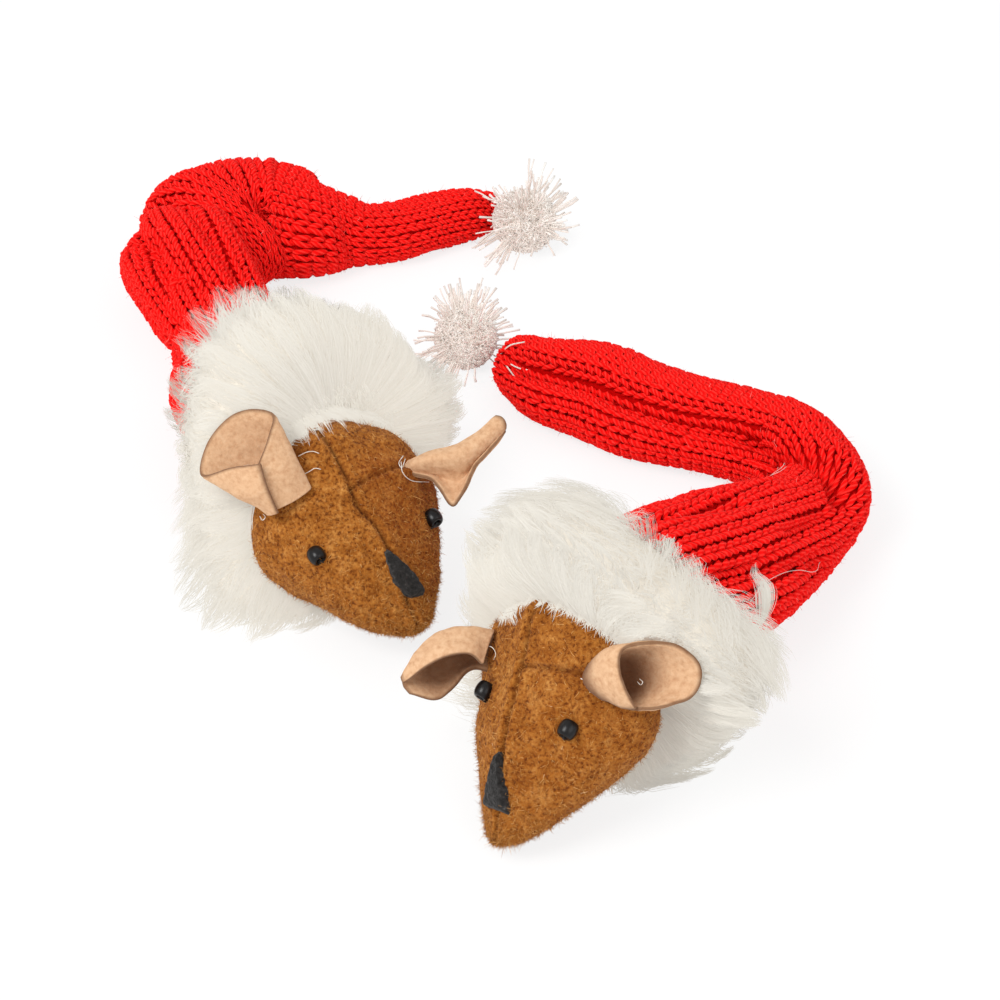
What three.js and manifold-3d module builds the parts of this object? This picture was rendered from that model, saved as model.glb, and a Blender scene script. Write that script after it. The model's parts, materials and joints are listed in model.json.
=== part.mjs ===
// A pair of stuffed mouse cat toys. Each has a felt head with bead eyes, two suede ears,
// a fur ruff round its neck and a long knitted hat whose tail ends in a pompom.
// Millimetres, +Z up. The origin is on the ground, in the middle of the pair.
import * as THREE from "three";
import { mergeVertices } from "three/addons/utils/BufferGeometryUtils.js";
import Module from "manifold-3d";

const wasm = await Module();
wasm.setup();

// Head: a tapering felt bag, its nose along the head's own +X
const headLength = 47;
const headHeight = 32;
const headHalfWidth = 18.5;
const headBack = -5; // place of the gathered back, behind the head's own origin
const feltThickness = 1.3;

// Clearances
const seamGap = 0.3; // between two pieces that touch
const groundSink = 0.5; // depth of the flat that a soft piece rests on

// Eyes
const beadRadius = 1.75;
const beadLength = 3.0;
const beadHoleRadius = 0.6;
const eyeThreadRadius = 0.2;
const beadSegments = 12;
const beadProud = 1.1; // how far the bead's middle stands out of the felt

// Nose patch
const nosePatchStartShare = 0.726; // of the head's length
const nosePatchEndShare = 0.923;
const nosePatchHalfWidth = 2.8;
const nosePatchThickness = 0.8;

// Ears
const earLength = 20;
const earHalfWidth = 9;
const suedeThickness = 1.2;
const earSwing = 12; // degrees that an ear flexes each way
const earThreadRadius = 0.35;
const earThreadReach = 1.5; // half width of the stitch through an ear's foot
const earThreadRise = 1.6; // how far above the felt the stitch pierces the ear
const earHoleRadius = 0.9;

// Ruff
const ruffRingRadius = 19.8;
const pileLength = 9.8;
const pileDepth = 15; // how far the pile reaches inward, round the neck
const pileHalfWidth = 11.5;
const tuftHeight = 0.9;
const tuftCount = 10;
const pileSplay = 15; // how far the pile is pressed forward and out where it meets the ground
const pileSplayHeight = 16; // how high above the ground that begins
const backingThickness = 1.0;
const backingStart = -3.5; // along the head
const backingEnd = 4.5;

// Hat
const hatLength = 150;
const headSpacing = 80; // between the two mice, head to head
const tailLift = 50; // degrees that the hat's tail lifts
const tieThreadRadius = 0.3;
const tieTurns = 2;

// Pompom
const pompomRadius = 8.5;
const pompomNeckRadius = 1.3;
const pompomTuftCount = 26;
const pompomTuftRadius = 1.0;
const pompomTuftRise = 2.4; // how far the tufts stand out of the core

// Mesh fineness, in counts
const headSegments = 20;
const roomSegments = 12;
const hatSegments = 12;
const ruffSteps = 30;
const ruffSides = 10;
const earRows = 9;
const earColumns = 10;
const earRoomRows = 6;
const earRoomColumns = 8;
const threadSides = 6;
const eyeThreadSteps = 10;
const earThreadSteps = 16;
const holeSides = 8;
const roundSegments = 10;
const roundRows = 6;
const ballSplitCount = 2;
const tuftSides = 4;

// The head's profile: stations along its length, and at each the height of the top and of
// the bottom and the half width, all as shares of the head's sizes
const stationShares = [0, 0.11, 0.25, 0.4, 0.55, 0.68, 0.79, 0.89, 0.965, 1];
const topShares = [0.69, 0.79, 0.88, 0.8, 0.71, 0.64, 0.54, 0.42, 0.34, 0.28];
const bottomShares = [0.22, 0.17, 0.06, -0.07, -0.11, -0.06, 0.02, 0.1, 0.18, 0.28];
const widthShares = [0.35, 0.56, 0.88, 1, 0.86, 0.69, 0.53, 0.35, 0.18, 0];
const ringShares = [0, 0.06, 0.13, 0.2, 0.3, 0.4, 0.5, 0.6, 0.7, 0.8, 0.88, 0.93, 0.965];
const roomShares = [0, 0.06, 0.13, 0.2, 0.3, 0.42, 0.6, 0.8, 0.965];

// Materials
function matt(color, roughness) {
  return new THREE.MeshStandardMaterial({ color, roughness, metalness: 0 });
}
const materials = {
  felt: matt(0x8a5220, 0.95),
  stuffing: matt(0xf2efe6, 1),
  bead: matt(0x0a0a0c, 0.15),
  thread: matt(0xeee9dd, 0.7),
  blackThread: matt(0x111111, 0.7),
  nose: matt(0x2c2d2f, 0.95),
  suede: matt(0xc98f66, 0.9),
  fur: matt(0xf1ede2, 1),
  backing: matt(0xe6dfd0, 0.95),
  knit: matt(0xd9120f, 0.7),
  pompom: matt(0xf3efec, 0.6),
};

// The two mice. Angles are in degrees. A mouse's spot is in shares of the spacing between them.
// The head stands over its spot, lifted by a share of its height, and an ear's place is a share of
// the head's length and height. The other places are shares of the hat's length, from the spot.
// A hat's stations run from inside the ruff to the tip: x and y of the middle, the lift off the
// ground, half width and half height.
const mice = [
  {
    name: "mouse_one",
    spotShares: [0, 0],
    headLiftShare: 0.211,
    headTurn: { yaw: 31, pitch: 9.6, roll: 3.7 },
    nosePatchShares: [0.12, 0.4, 0.62, 0.77, 0.8, 0.45],
    ruff: { placeShares: [0.007, 0.032, 0.143], yaw: 37.5, pitch: -17 },
    eyes: {
      right: { placeShare: 0.61, heightShare: 0.57 },
      left: { placeShare: 0.635, heightShare: 0.5 },
    },
    ears: {
      right: { placeShare: 0.39, heightShare: 0.72, out: -22, up: 62, roll: 66, lengthShare: 0.95,
        widthShare: 1.02, footShare: 0.4, footCup: 160, rimCup: 120, curl: -68 },
      left: { placeShare: 0.42, heightShare: 0.64, out: 10, up: -11, roll: 99, lengthShare: 1.03,
        widthShare: 0.99, footShare: 0.4, footCup: 94, rimCup: 50, curl: -28 },
    },
    crownShares: [
      [-0.006, 0.025, 0.063, 0.075, 0.075],
      [-0.056, 0.105, 0.018, 0.1, 0.1],
      [-0.111, 0.205, 0.006, 0.085, 0.08],
      [-0.141, 0.315, 0, 0.068, 0.068],
      [-0.181, 0.425, 0, 0.073, 0.065],
      [-0.201, 0.525, 0, 0.095, 0.065],
      [-0.171, 0.62, 0, 0.118, 0.07],
      [-0.106, 0.66, 0, 0.12, 0.07],
      [-0.041, 0.658, 0, 0.1, 0.062],
      [0.004, 0.655, 0, 0.062, 0.048],
      [0.044, 0.655, 0, 0.045, 0.04],
    ],
    tailShares: [
      [0.044, 0.655, 0, 0.045, 0.04],
      [0.089, 0.665, 0, 0.053, 0.04],
      [0.139, 0.68, 0, 0.057, 0.04],
      [0.189, 0.697, 0, 0.048, 0.038],
      [0.21, 0.693, 0.014, 0.024, 0.024],
      [0.236, 0.685, 0.016, 0.022, 0.022],
    ],
    pompomPlaceShares: [0.294, 0.664],
    pompomShare: 1,
  },
  {
    name: "mouse_two",
    spotShares: [0.776, -0.639],
    headLiftShare: 0.4406,
    headTurn: { yaw: -44.8, pitch: 27.9, roll: 22.8 },
    nosePatchShares: [0.08, 0.3, 0.52, 0.75, 1, 0.92],
    ruff: { placeShares: [-0.037, -0.024, 0.167], yaw: -42, pitch: 24 },
    eyes: {
      right: { placeShare: 0.54, heightShare: 0.665 },
      left: { placeShare: 0.575, heightShare: 0.585 },
    },
    ears: {
      right: { placeShare: 0.43, heightShare: 0.71, out: 24, up: -17, roll: -27, lengthShare: 1,
        widthShare: 1.07, footShare: 0.6, footCup: 197, rimCup: 240, curl: -7 },
      left: { placeShare: 0.385, heightShare: 0.7, out: -10, up: 0, roll: -147, lengthShare: 1,
        widthShare: 0.94, footShare: 0.49, footCup: 181, rimCup: 212, curl: 26 },
    },
    crownShares: [
      [-0.035, 0.026, 0.098, 0.075, 0.075],
      [0.02, 0.091, 0.053, 0.1, 0.09],
      [0.095, 0.166, 0.023, 0.105, 0.085],
      [0.165, 0.246, 0.013, 0.085, 0.068],
      [0.225, 0.311, 0.003, 0.068, 0.058],
      [0.25, 0.381, 0, 0.065, 0.055],
      [0.22, 0.451, 0, 0.068, 0.055],
      [0.16, 0.496, 0, 0.073, 0.052],
      [0.09, 0.524, 0, 0.077, 0.05],
      [0.021, 0.558, 0, 0.079, 0.05],
    ],
    tailShares: [
      [0.021, 0.558, 0, 0.079, 0.05],
      [-0.032, 0.593, 0, 0.078, 0.05],
      [-0.087, 0.621, 0, 0.071, 0.047],
      [-0.128, 0.651, 0, 0.055, 0.041],
      [-0.149, 0.668, 0.014, 0.024, 0.024],
      [-0.169, 0.685, 0.016, 0.022, 0.022],
    ],
    pompomPlaceShares: [-0.215, 0.727],
    pompomShare: 0.92,
  },
];

const radians = THREE.MathUtils.degToRad;
const fullTurn = 2 * Math.PI;
const quarterTurn = Math.PI / 2;

function placeOf(shares) {
  return new THREE.Vector3(...shares).multiplyScalar(hatLength);
}

// A smooth curve through stations: cubic pieces whose slopes come from the neighbours
function smoothThrough(places, values) {
  const last = places.length - 1;
  const slope = (i) => {
    const a = Math.max(i - 1, 0);
    const b = Math.min(i + 1, last);
    return (values[b] - values[a]) / (places[b] - places[a]);
  };
  return (x) => {
    let i = 0;
    while (i < last - 1 && x > places[i + 1]) i += 1;
    const span = places[i + 1] - places[i];
    const t = THREE.MathUtils.clamp((x - places[i]) / span, 0, 1);
    const rest = 1 - t;
    const start = values[i] * rest * rest * (1 + 2 * t);
    const end = values[i + 1] * t * t * (3 - 2 * t);
    return start + end + span * t * rest * (slope(i) * rest - slope(i + 1) * t);
  };
}

// A closed geometry from points and triangles, turned so that its faces point out
function closedGeometry(points, triangles) {
  let volume = 0;
  for (const [a, b, c] of triangles) {
    volume += points[a].dot(new THREE.Vector3().crossVectors(points[b], points[c]));
  }
  const order = volume > 0 ? triangles : triangles.map(([a, b, c]) => [a, c, b]);
  const geometry = new THREE.BufferGeometry();
  const numbers = points.flatMap((point) => point.toArray());
  geometry.setAttribute("position", new THREE.Float32BufferAttribute(numbers, 3));
  geometry.setIndex(order.flat());
  return geometry;
}

// A solid through closed rings of equal count, with a point at each end
function loft(rings, startPoint, endPoint) {
  const count = rings[0].length;
  const points = rings.flat();
  const triangles = [];
  for (let i = 0; i < rings.length - 1; i += 1) {
    for (let j = 0; j < count; j += 1) {
      const a = i * count + j;
      const b = i * count + ((j + 1) % count);
      triangles.push([a, b, b + count], [a, b + count, a + count]);
    }
  }
  const start = points.push(startPoint) - 1;
  const end = points.push(endPoint) - 1;
  const lastRing = (rings.length - 1) * count;
  for (let j = 0; j < count; j += 1) {
    const next = (j + 1) % count;
    triangles.push([start, next, j], [end, lastRing + j, lastRing + next]);
  }
  return closedGeometry(points, triangles);
}

// A thick sheet between two grids of equal size, walled round its edge
function slab(outer, inner) {
  const rows = outer.length;
  const columns = outer[0].length;
  const points = [...outer.flat(), ...inner.flat()];
  const layer = rows * columns;
  const at = (i, j, side) => side * layer + i * columns + j;
  const triangles = [];
  const quad = (a, b, c, d) => triangles.push([a, b, c], [a, c, d]);
  for (let i = 0; i < rows - 1; i += 1) {
    for (let j = 0; j < columns - 1; j += 1) {
      quad(at(i, j, 0), at(i, j + 1, 0), at(i + 1, j + 1, 0), at(i + 1, j, 0));
      quad(at(i, j, 1), at(i + 1, j, 1), at(i + 1, j + 1, 1), at(i, j + 1, 1));
    }
  }
  for (let i = 0; i < rows - 1; i += 1) {
    quad(at(i, 0, 0), at(i + 1, 0, 0), at(i + 1, 0, 1), at(i, 0, 1));
    const j = columns - 1;
    quad(at(i, j, 0), at(i, j, 1), at(i + 1, j, 1), at(i + 1, j, 0));
  }
  for (let j = 0; j < columns - 1; j += 1) {
    const i = rows - 1;
    quad(at(0, j, 0), at(0, j, 1), at(0, j + 1, 1), at(0, j + 1, 0));
    quad(at(i, j, 0), at(i, j + 1, 0), at(i, j + 1, 1), at(i, j, 1));
  }
  return closedGeometry(points, triangles);
}

// A closed band: two surfaces of rings, one inside the other, joined at both edges
function band(outerRings, innerRings) {
  const rings = [...outerRings, ...[...innerRings].reverse()];
  const count = rings[0].length;
  const points = rings.flat();
  const triangles = [];
  for (let i = 0; i < rings.length; i += 1) {
    const below = i * count;
    const above = ((i + 1) % rings.length) * count;
    for (let j = 0; j < count; j += 1) {
      const next = (j + 1) % count;
      triangles.push([below + j, below + next, above + next]);
      triangles.push([below + j, above + next, above + j]);
    }
  }
  return closedGeometry(points, triangles);
}

// Between geometry and solids that can be joined and cut
function toSolid(geometry) {
  const bare = new THREE.BufferGeometry();
  bare.setAttribute("position", geometry.getAttribute("position").clone());
  if (geometry.index) bare.setIndex(geometry.index.clone());
  const merged = mergeVertices(bare);
  return new wasm.Manifold(new wasm.Mesh({
    numProp: 3,
    vertProperties: new Float32Array(merged.getAttribute("position").array),
    triVerts: new Uint32Array(merged.index.array),
  }));
}

function toGeometry(solid) {
  const mesh = solid.getMesh();
  const geometry = new THREE.BufferGeometry();
  const numbers = new Float32Array(mesh.vertProperties);
  geometry.setAttribute("position", new THREE.BufferAttribute(numbers, 3));
  geometry.setIndex(new THREE.BufferAttribute(new Uint32Array(mesh.triVerts), 1));
  return geometry;
}

function cut(geometry, ...tools) {
  let solid = toSolid(geometry);
  for (const tool of tools) solid = solid.subtract(toSolid(tool));
  return toGeometry(solid);
}

function join(geometry, ...others) {
  let solid = toSolid(geometry);
  for (const other of others) solid = solid.add(toSolid(other));
  return toGeometry(solid);
}

// The largest of a solid's separate bodies, without the slivers that a cut leaves beside it
function mainBody(geometry) {
  const bodies = toSolid(geometry).decompose();
  return toGeometry(bodies.reduce((a, b) => (a.volume() > b.volume() ? a : b)));
}

function moved(geometry, matrix) {
  return geometry.clone().applyMatrix4(matrix);
}

function piece(name, geometry, material, group) {
  const flat = geometry.index ? geometry.toNonIndexed() : geometry;
  flat.computeVertexNormals();
  const mesh = new THREE.Mesh(flat, material);
  mesh.name = name;
  group.add(mesh);
}

// The ground, as a block whose top face is the plane that the pair lies on
function groundBlock() {
  const size = 4 * hatLength;
  const block = new THREE.BoxGeometry(size, size, size);
  return block.translate(0, 0, -size / 2);
}

// The head's section at a share of its length, grown all round by a thickness
const topAt = smoothThrough(stationShares, topShares);
const bottomAt = smoothThrough(stationShares, bottomShares);
const widthAt = smoothThrough(stationShares, widthShares);

function headSection(share, grow) {
  const top = topAt(share) * headHeight + grow;
  const bottom = bottomAt(share) * headHeight - grow;
  return {
    x: headBack - grow + share * (headLength + 2 * grow),
    middle: (top + bottom) / 2,
    halfHeight: (top - bottom) / 2,
    halfWidth: widthAt(share) * headHalfWidth + grow,
  };
}

// A point on the head's surface, at an angle up from its left side
function headPoint(share, angle, grow) {
  const section = headSection(share, grow);
  return new THREE.Vector3(
    section.x,
    section.halfWidth * Math.cos(angle),
    section.middle + section.halfHeight * Math.sin(angle),
  );
}

function headRing(share, grow, segments = headSegments) {
  const angleAt = (j) => (fullTurn * j) / segments;
  return Array.from({ length: segments }, (_, j) => headPoint(share, angleAt(j), grow));
}

function headForm(grow, shares = ringShares, segments = headSegments) {
  const rings = shares.map((share) => headRing(share, grow, segments));
  const back = headSection(0, grow);
  const tip = headSection(1, grow);
  return loft(
    rings,
    new THREE.Vector3(back.x, 0, back.middle),
    new THREE.Vector3(tip.x, 0, tip.middle),
  );
}

// The room that the head takes up with a gap round it, in coarser facets that stay outside its own
function headRoom() {
  const facetDepth = headHalfWidth * (1 - Math.cos(fullTurn / roomSegments / 2));
  return headForm(2 * seamGap + facetDepth, roomShares, roomSegments);
}

// The place on the head's side at a share of its length and height, with the way out of it
function headSide({ placeShare, heightShare }, side) {
  const section = headSection(placeShare, 0);
  const height = heightShare * headHeight;
  const sine = THREE.MathUtils.clamp((height - section.middle) / section.halfHeight, -1, 1);
  const cosine = Math.sqrt(1 - sine * sine);
  const point = new THREE.Vector3(section.x, side * section.halfWidth * cosine, height);
  const outward = new THREE.Vector3(0, (side * cosine) / section.halfWidth, sine / section.halfHeight);
  return { point, outward: outward.normalize() };
}

function turned({ yaw, pitch, roll }) {
  return new THREE.Euler(radians(roll), radians(pitch), radians(yaw) - quarterTurn, "ZXY");
}

// A head: two felt halves seamed down the middle, a closing disc and the stuffing
function addHead(mouse, head, ground, dimples) {
  const outerForm = headForm(0);
  const innerForm = headForm(-feltThickness);
  const wide = 2 * headHalfWidth;
  const high = 4 * headHeight;
  const behind = (reach) => {
    const block = new THREE.BoxGeometry(feltThickness * 2, wide, high);
    return block.translate(headBack + reach - feltThickness, 0, 0);
  };
  const opening = moved(innerForm, new THREE.Matrix4().makeTranslation(-2 * feltThickness, 0, 0));
  const shell = cut(outerForm, innerForm, opening, behind(feltThickness), ground, ...dimples);
  for (const [word, side] of [["right", -1], ["left", 1]]) {
    const otherHalf = new THREE.BoxGeometry(3 * headLength, wide, high);
    otherHalf.translate(0, side * (seamGap / 2 - headHalfWidth), 0);
    piece(`${mouse.name}_head_panel_${word}`, cut(shell, otherHalf), materials.felt, head);
  }
  const closing = headSection(0, -seamGap);
  const disc = new THREE.CylinderGeometry(1, 1, feltThickness, headSegments);
  disc.rotateZ(quarterTurn);
  disc.scale(1, closing.halfWidth, closing.halfHeight);
  disc.translate(headBack + feltThickness / 2 - seamGap, 0, closing.middle);
  piece(`${mouse.name}_head_back_panel`, disc, materials.felt, head);
  const wad = headForm(-2 * feltThickness, roomShares.slice(0, -1), roomSegments);
  piece(`${mouse.name}_head_stuffing`, cut(wad, ground), materials.stuffing, head);
}

// A bead's outline, thick round its hole
function beadProfile() {
  const roundness = 8;
  const middle = (beadRadius + beadHoleRadius) / 2;
  const wall = (beadRadius - beadHoleRadius) / 2;
  return Array.from({ length: roundness + 1 }, (_, i) => {
    const angle = (fullTurn * (i % roundness)) / roundness;
    return new THREE.Vector2(middle + wall * Math.cos(angle), (beadLength / 2) * Math.sin(angle));
  });
}

// A bead eye on each side, sewn down into a dimple of the felt by a thread through its hole
function addEyes(mouse, head) {
  const dimples = [];
  for (const [word, side] of [["right", -1], ["left", 1]]) {
    const { point, outward } = headSide(mouse.eyes[word], side);
    const eye = new THREE.Group();
    eye.position.copy(point).addScaledVector(outward, beadProud);
    const forward = new THREE.Vector3(1, 0, 0);
    const along = forward.addScaledVector(outward, -outward.x).normalize();
    const across = new THREE.Vector3().crossVectors(along, outward);
    eye.setRotationFromMatrix(new THREE.Matrix4().makeBasis(across, along, outward));
    head.add(eye);
    eye.updateMatrix();
    const bead = new THREE.LatheGeometry(beadProfile(), beadSegments);
    piece(`${mouse.name}_eye_bead_${word}`, bead, materials.bead, eye);
    const end = beadLength / 2;
    const dimpleRadius = beadRadius + seamGap;
    const dimple = new THREE.SphereGeometry(1, roundSegments, roundRows);
    dimple.scale(dimpleRadius, end + beadHoleRadius + seamGap, dimpleRadius);
    dimples.push(moved(dimple, eye.matrix));
    const route = new THREE.CatmullRomCurve3([
      new THREE.Vector3(0, -end - beadHoleRadius, -beadHoleRadius),
      new THREE.Vector3(0, -end, 0),
      new THREE.Vector3(0, 0, 0),
      new THREE.Vector3(0, end, 0),
      new THREE.Vector3(0, end + beadHoleRadius, -beadHoleRadius),
    ]);
    const thread = rod(route, eyeThreadRadius, eyeThreadSteps);
    piece(`${mouse.name}_eye_thread_${word}`, thread, materials.blackThread, eye);
  }
  return dimples;
}

// A round rod along a curve
function rod(route, radius, steps) {
  const circle = new THREE.Shape();
  for (let i = 0; i < threadSides; i += 1) {
    const angle = (fullTurn * i) / threadSides;
    const x = radius * Math.cos(angle);
    const y = radius * Math.sin(angle);
    if (i === 0) circle.moveTo(x, y);
    else circle.lineTo(x, y);
  }
  return new THREE.ExtrudeGeometry(circle, { steps, extrudePath: route, bevelEnabled: false });
}

// The nose: a patch of dark felt laid over the ridge of the muzzle
function addNose(mouse, head) {
  const rows = 8;
  const columns = 6;
  const shares = mouse.nosePatchShares;
  const widths = smoothThrough(shares.map((_, i) => i / (shares.length - 1)), shares);
  const layer = (grow) => Array.from({ length: rows }, (_, i) => {
    const down = i / (rows - 1);
    const share = nosePatchStartShare + down * (nosePatchEndShare - nosePatchStartShare);
    const section = headSection(share, 0);
    const halfAngle = (widths(down) * nosePatchHalfWidth) / section.halfWidth;
    return Array.from({ length: columns }, (_, j) => {
      const across = (2 * j) / (columns - 1) - 1;
      return headPoint(share, quarterTurn + across * halfAngle, grow);
    });
  });
  const patch = slab(layer(seamGap + nosePatchThickness), layer(seamGap));
  piece(`${mouse.name}_nose_patch`, patch, materials.nose, head);
}

// An ear's middle surface, from its foot (along 0) to its rim (along 1), and from one edge
// (across -1) to the other (across 1). It is cupped towards its own +Z and curls along +X.
function earPoint(ear, along, across) {
  const swell = 0.55;
  const roundEnd = 0.47;
  const part = Math.max(along, 0);
  const width = part < swell
    ? ear.footShare + (1 - ear.footShare) * Math.sin((quarterTurn * part) / swell)
    : Math.sqrt(Math.max(1 - ((part - swell) / roundEnd) ** 2, 0));
  const cup = radians(ear.footCup + (ear.rimCup - ear.footCup) * part);
  const radius = (2 * ear.widthShare * earHalfWidth * width) / cup;
  const bend = radians(ear.curl);
  const length = ear.lengthShare * earLength;
  const spineX = (length * Math.sin(bend * along)) / bend;
  const spineZ = (length * (1 - Math.cos(bend * along))) / bend;
  const rise = radius * (1 - Math.cos((across * cup) / 2));
  const lean = bend * along;
  return new THREE.Vector3(
    spineX - rise * Math.sin(lean),
    radius * Math.sin((across * cup) / 2),
    spineZ + rise * Math.cos(lean),
  );
}

function earSheet(ear, halfThickness, rows, columns) {
  const sink = 0.12;
  const step = 0.01;
  const layer = (side) => Array.from({ length: rows }, (_, i) => {
    const along = ((1 + sink) * i) / (rows - 1) - sink;
    return Array.from({ length: columns }, (_, j) => {
      const across = (2 * j) / (columns - 1) - 1;
      const here = earPoint(ear, along, across);
      const low = Math.min(along, 1 - 2 * step);
      const down = earPoint(ear, low + step, across).sub(earPoint(ear, low, across));
      const over = earPoint(ear, Math.min(along, 1 - step), across + step);
      over.sub(earPoint(ear, Math.min(along, 1 - step), across - step));
      const normal = new THREE.Vector3().crossVectors(down, over).normalize();
      return here.addScaledVector(normal, side * halfThickness);
    });
  });
  return slab(layer(1), layer(-1));
}

// The ears: cupped suede leaves, each flexing about the line where its foot is sewn.
// What comes back is the room that they flex in.
function addEars(mouse, head) {
  const rooms = [];
  const roomScale = 1.1;
  const roomHalfWidth = (earLength * Math.sin(radians(earSwing))) / 2 + 2 * seamGap;
  for (const [word, side] of [["right", -1], ["left", 1]]) {
    const ear = mouse.ears[word];
    const { point, outward } = headSide(ear, side);
    const foot = new THREE.Group();
    foot.position.copy(point).addScaledVector(outward, suedeThickness);
    foot.setRotationFromEuler(new THREE.Euler(
      radians(side * ear.roll), radians(-ear.up), radians(side * (90 - ear.out)), "ZYX",
    ));
    foot.name = `${mouse.name}_ear_${word}_foot`;
    head.add(foot);
    foot.updateMatrix();
    const headHere = moved(headForm(seamGap), foot.matrix.clone().invert());
    const swingBy = (angle) => new THREE.Matrix4().makeRotationY(radians(angle));
    const swings = [-earSwing, 0, earSwing].map(swingBy);
    const heads = swings.map((swing) => moved(headHere, swing));
    const sheet = earSheet(ear, suedeThickness / 2, earRows, earColumns);
    const holeLength = earThreadReach * 2;
    const hole = new THREE.CylinderGeometry(earHoleRadius, earHoleRadius, holeLength, holeSides);
    hole.rotateX(quarterTurn);
    hole.translate(earThreadRise, 0, 0);
    piece(`${mouse.name}_ear_${word}`, cut(sheet, hole, ...heads), materials.suede, foot);
    const route = new THREE.CatmullRomCurve3([
      new THREE.Vector3(-earThreadRise * 2, 0, -earThreadReach),
      new THREE.Vector3(0, 0, -earThreadReach),
      new THREE.Vector3(earThreadRise, 0, 0),
      new THREE.Vector3(0, 0, earThreadReach),
      new THREE.Vector3(-earThreadRise * 2, 0, earThreadReach),
    ]);
    const thread = rod(route, earThreadRadius, earThreadSteps);
    piece(`${mouse.name}_ear_stitch_${word}`, cut(thread, headHere), materials.thread, foot);
    const roomy = {
      ...ear,
      lengthShare: ear.lengthShare * roomScale,
      widthShare: ear.widthShare * roomScale,
    };
    const sweep = earSheet(roomy, roomHalfWidth, earRoomRows, earRoomColumns);
    for (const swing of swings) {
      rooms.push(moved(sweep, new THREE.Matrix4().multiplyMatrices(foot.matrix, swing)));
    }
  }
  return rooms;
}

// The ruff's deep pile: a ring round the neck, tufted outside, and splayed where it meets the ground
function ruffPile(mouse) {
  const { placeShares, yaw, pitch } = mouse.ruff;
  const turn = new THREE.Matrix4().makeRotationFromEuler(turned({ yaw, pitch, roll: 0 }));
  const centre = placeOf(placeShares);
  const forward = new THREE.Vector3(1, 0, 0).transformDirection(turn).setZ(0).normalize();
  const splayCentre = centre.clone().addScaledVector(forward, -pileLength);
  const rings = Array.from({ length: ruffSteps }, (_, i) => {
    const round = (fullTurn * i) / ruffSteps;
    const tuft = tuftHeight * Math.cos(tuftCount * round);
    return Array.from({ length: ruffSides }, (_, j) => {
      const angle = (fullTurn * j) / ruffSides;
      const outside = Math.cos(angle);
      const reach = outside > 0 ? pileLength + tuft * outside : pileDepth;
      const radius = ruffRingRadius + reach * outside;
      const fullness = outside > 0 ? 1 : 0.7; // the pile is blunter inside, against the neck
      const ahead = Math.sin(angle);
      const point = new THREE.Vector3(
        pileHalfWidth * Math.sign(ahead) * Math.abs(ahead) ** fullness,
        radius * Math.cos(round),
        radius * Math.sin(round),
      );
      point.applyMatrix4(turn).add(centre);
      const low = THREE.MathUtils.clamp(1 - point.z / pileSplayHeight, 0, 1) ** 1.5;
      const free = Math.max(outside, ahead, 0);
      const away = point.clone().sub(splayCentre).setZ(0).normalize();
      return point.addScaledVector(away, pileSplay * low * free);
    });
  });
  const points = rings.flat();
  const triangles = [];
  for (let i = 0; i < ruffSteps; i += 1) {
    for (let j = 0; j < ruffSides; j += 1) {
      const next = (j + 1) % ruffSides;
      const here = i * ruffSides;
      const there = ((i + 1) % ruffSteps) * ruffSides;
      triangles.push([here + j, here + next, there + next], [here + j, there + next, there + j]);
    }
  }
  return closedGeometry(points, triangles);
}

// The woven strip that the pile is sewn to, round the neck
function backingBand(grow) {
  const rows = 4;
  const layer = (thickness) => Array.from({ length: rows }, (_, i) => {
    const x = backingStart - grow + ((backingEnd - backingStart + 2 * grow) * i) / (rows - 1);
    return headRing((x - headBack) / headLength, thickness);
  });
  return band(layer(seamGap + backingThickness + grow), layer(seamGap - grow));
}

// A tube of elliptic section along stations on the ground. A dome closes its start, a flat its end.
function tube(stations, grow, startDome) {
  const places = stations.map((_, i) => i);
  const column = (k) => smoothThrough(places, stations.map((station) => station[k] * hatLength));
  const [x, y, lift, halfWidth, halfHeight] = [0, 1, 2, 3, 4].map(column);
  const last = stations.length - 1;
  const perStation = 2;
  const steps = last * perStation;
  const at = (t) => new THREE.Vector3(x(t), y(t), lift(t) + halfHeight(t) - groundSink);
  const ringAt = (t, scale, shift) => {
    const nudge = 0.02;
    const tangent = at(Math.min(t + nudge, last)).sub(at(Math.max(t - nudge, 0))).setZ(0).normalize();
    const side = new THREE.Vector3(-tangent.y, tangent.x, 0);
    const middle = at(t).addScaledVector(tangent, shift);
    return Array.from({ length: hatSegments }, (_, j) => {
      const angle = (fullTurn * j) / hatSegments;
      return middle.clone()
        .addScaledVector(side, (halfWidth(t) + grow) * scale * Math.cos(angle))
        .setZ(middle.z + (halfHeight(t) + grow) * scale * Math.sin(angle));
    });
  };
  const domeSteps = 3;
  const rings = Array.from({ length: domeSteps }, (_, i) => {
    const angle = (quarterTurn * (i + 0.4)) / domeSteps;
    return ringAt(0, Math.sin(angle), -(startDome + grow) * Math.cos(angle));
  });
  for (let i = 0; i <= steps; i += 1) rings.push(ringAt(i / perStation, 1, 0));
  const sumOf = (ring) => ring.reduce((sum, point) => sum.add(point), new THREE.Vector3());
  const middleOf = (ring) => sumOf(ring).divideScalar(ring.length);
  return loft(rings, middleOf(rings[0]), middleOf(rings[rings.length - 1]));
}

// A station's middle
function stationPoint([x, y, lift, , halfHeight]) {
  return placeOf([x, y, lift + halfHeight]).add(new THREE.Vector3(0, 0, -groundSink));
}

// The way along the ground that a tube points between two of its stations, and the way to its side
function tubeWay(stations, from, to) {
  const direction = stationPoint(stations[to]).sub(stationPoint(stations[from])).setZ(0).normalize();
  return { direction, side: new THREE.Vector3(-direction.y, direction.x, 0) };
}

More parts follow.
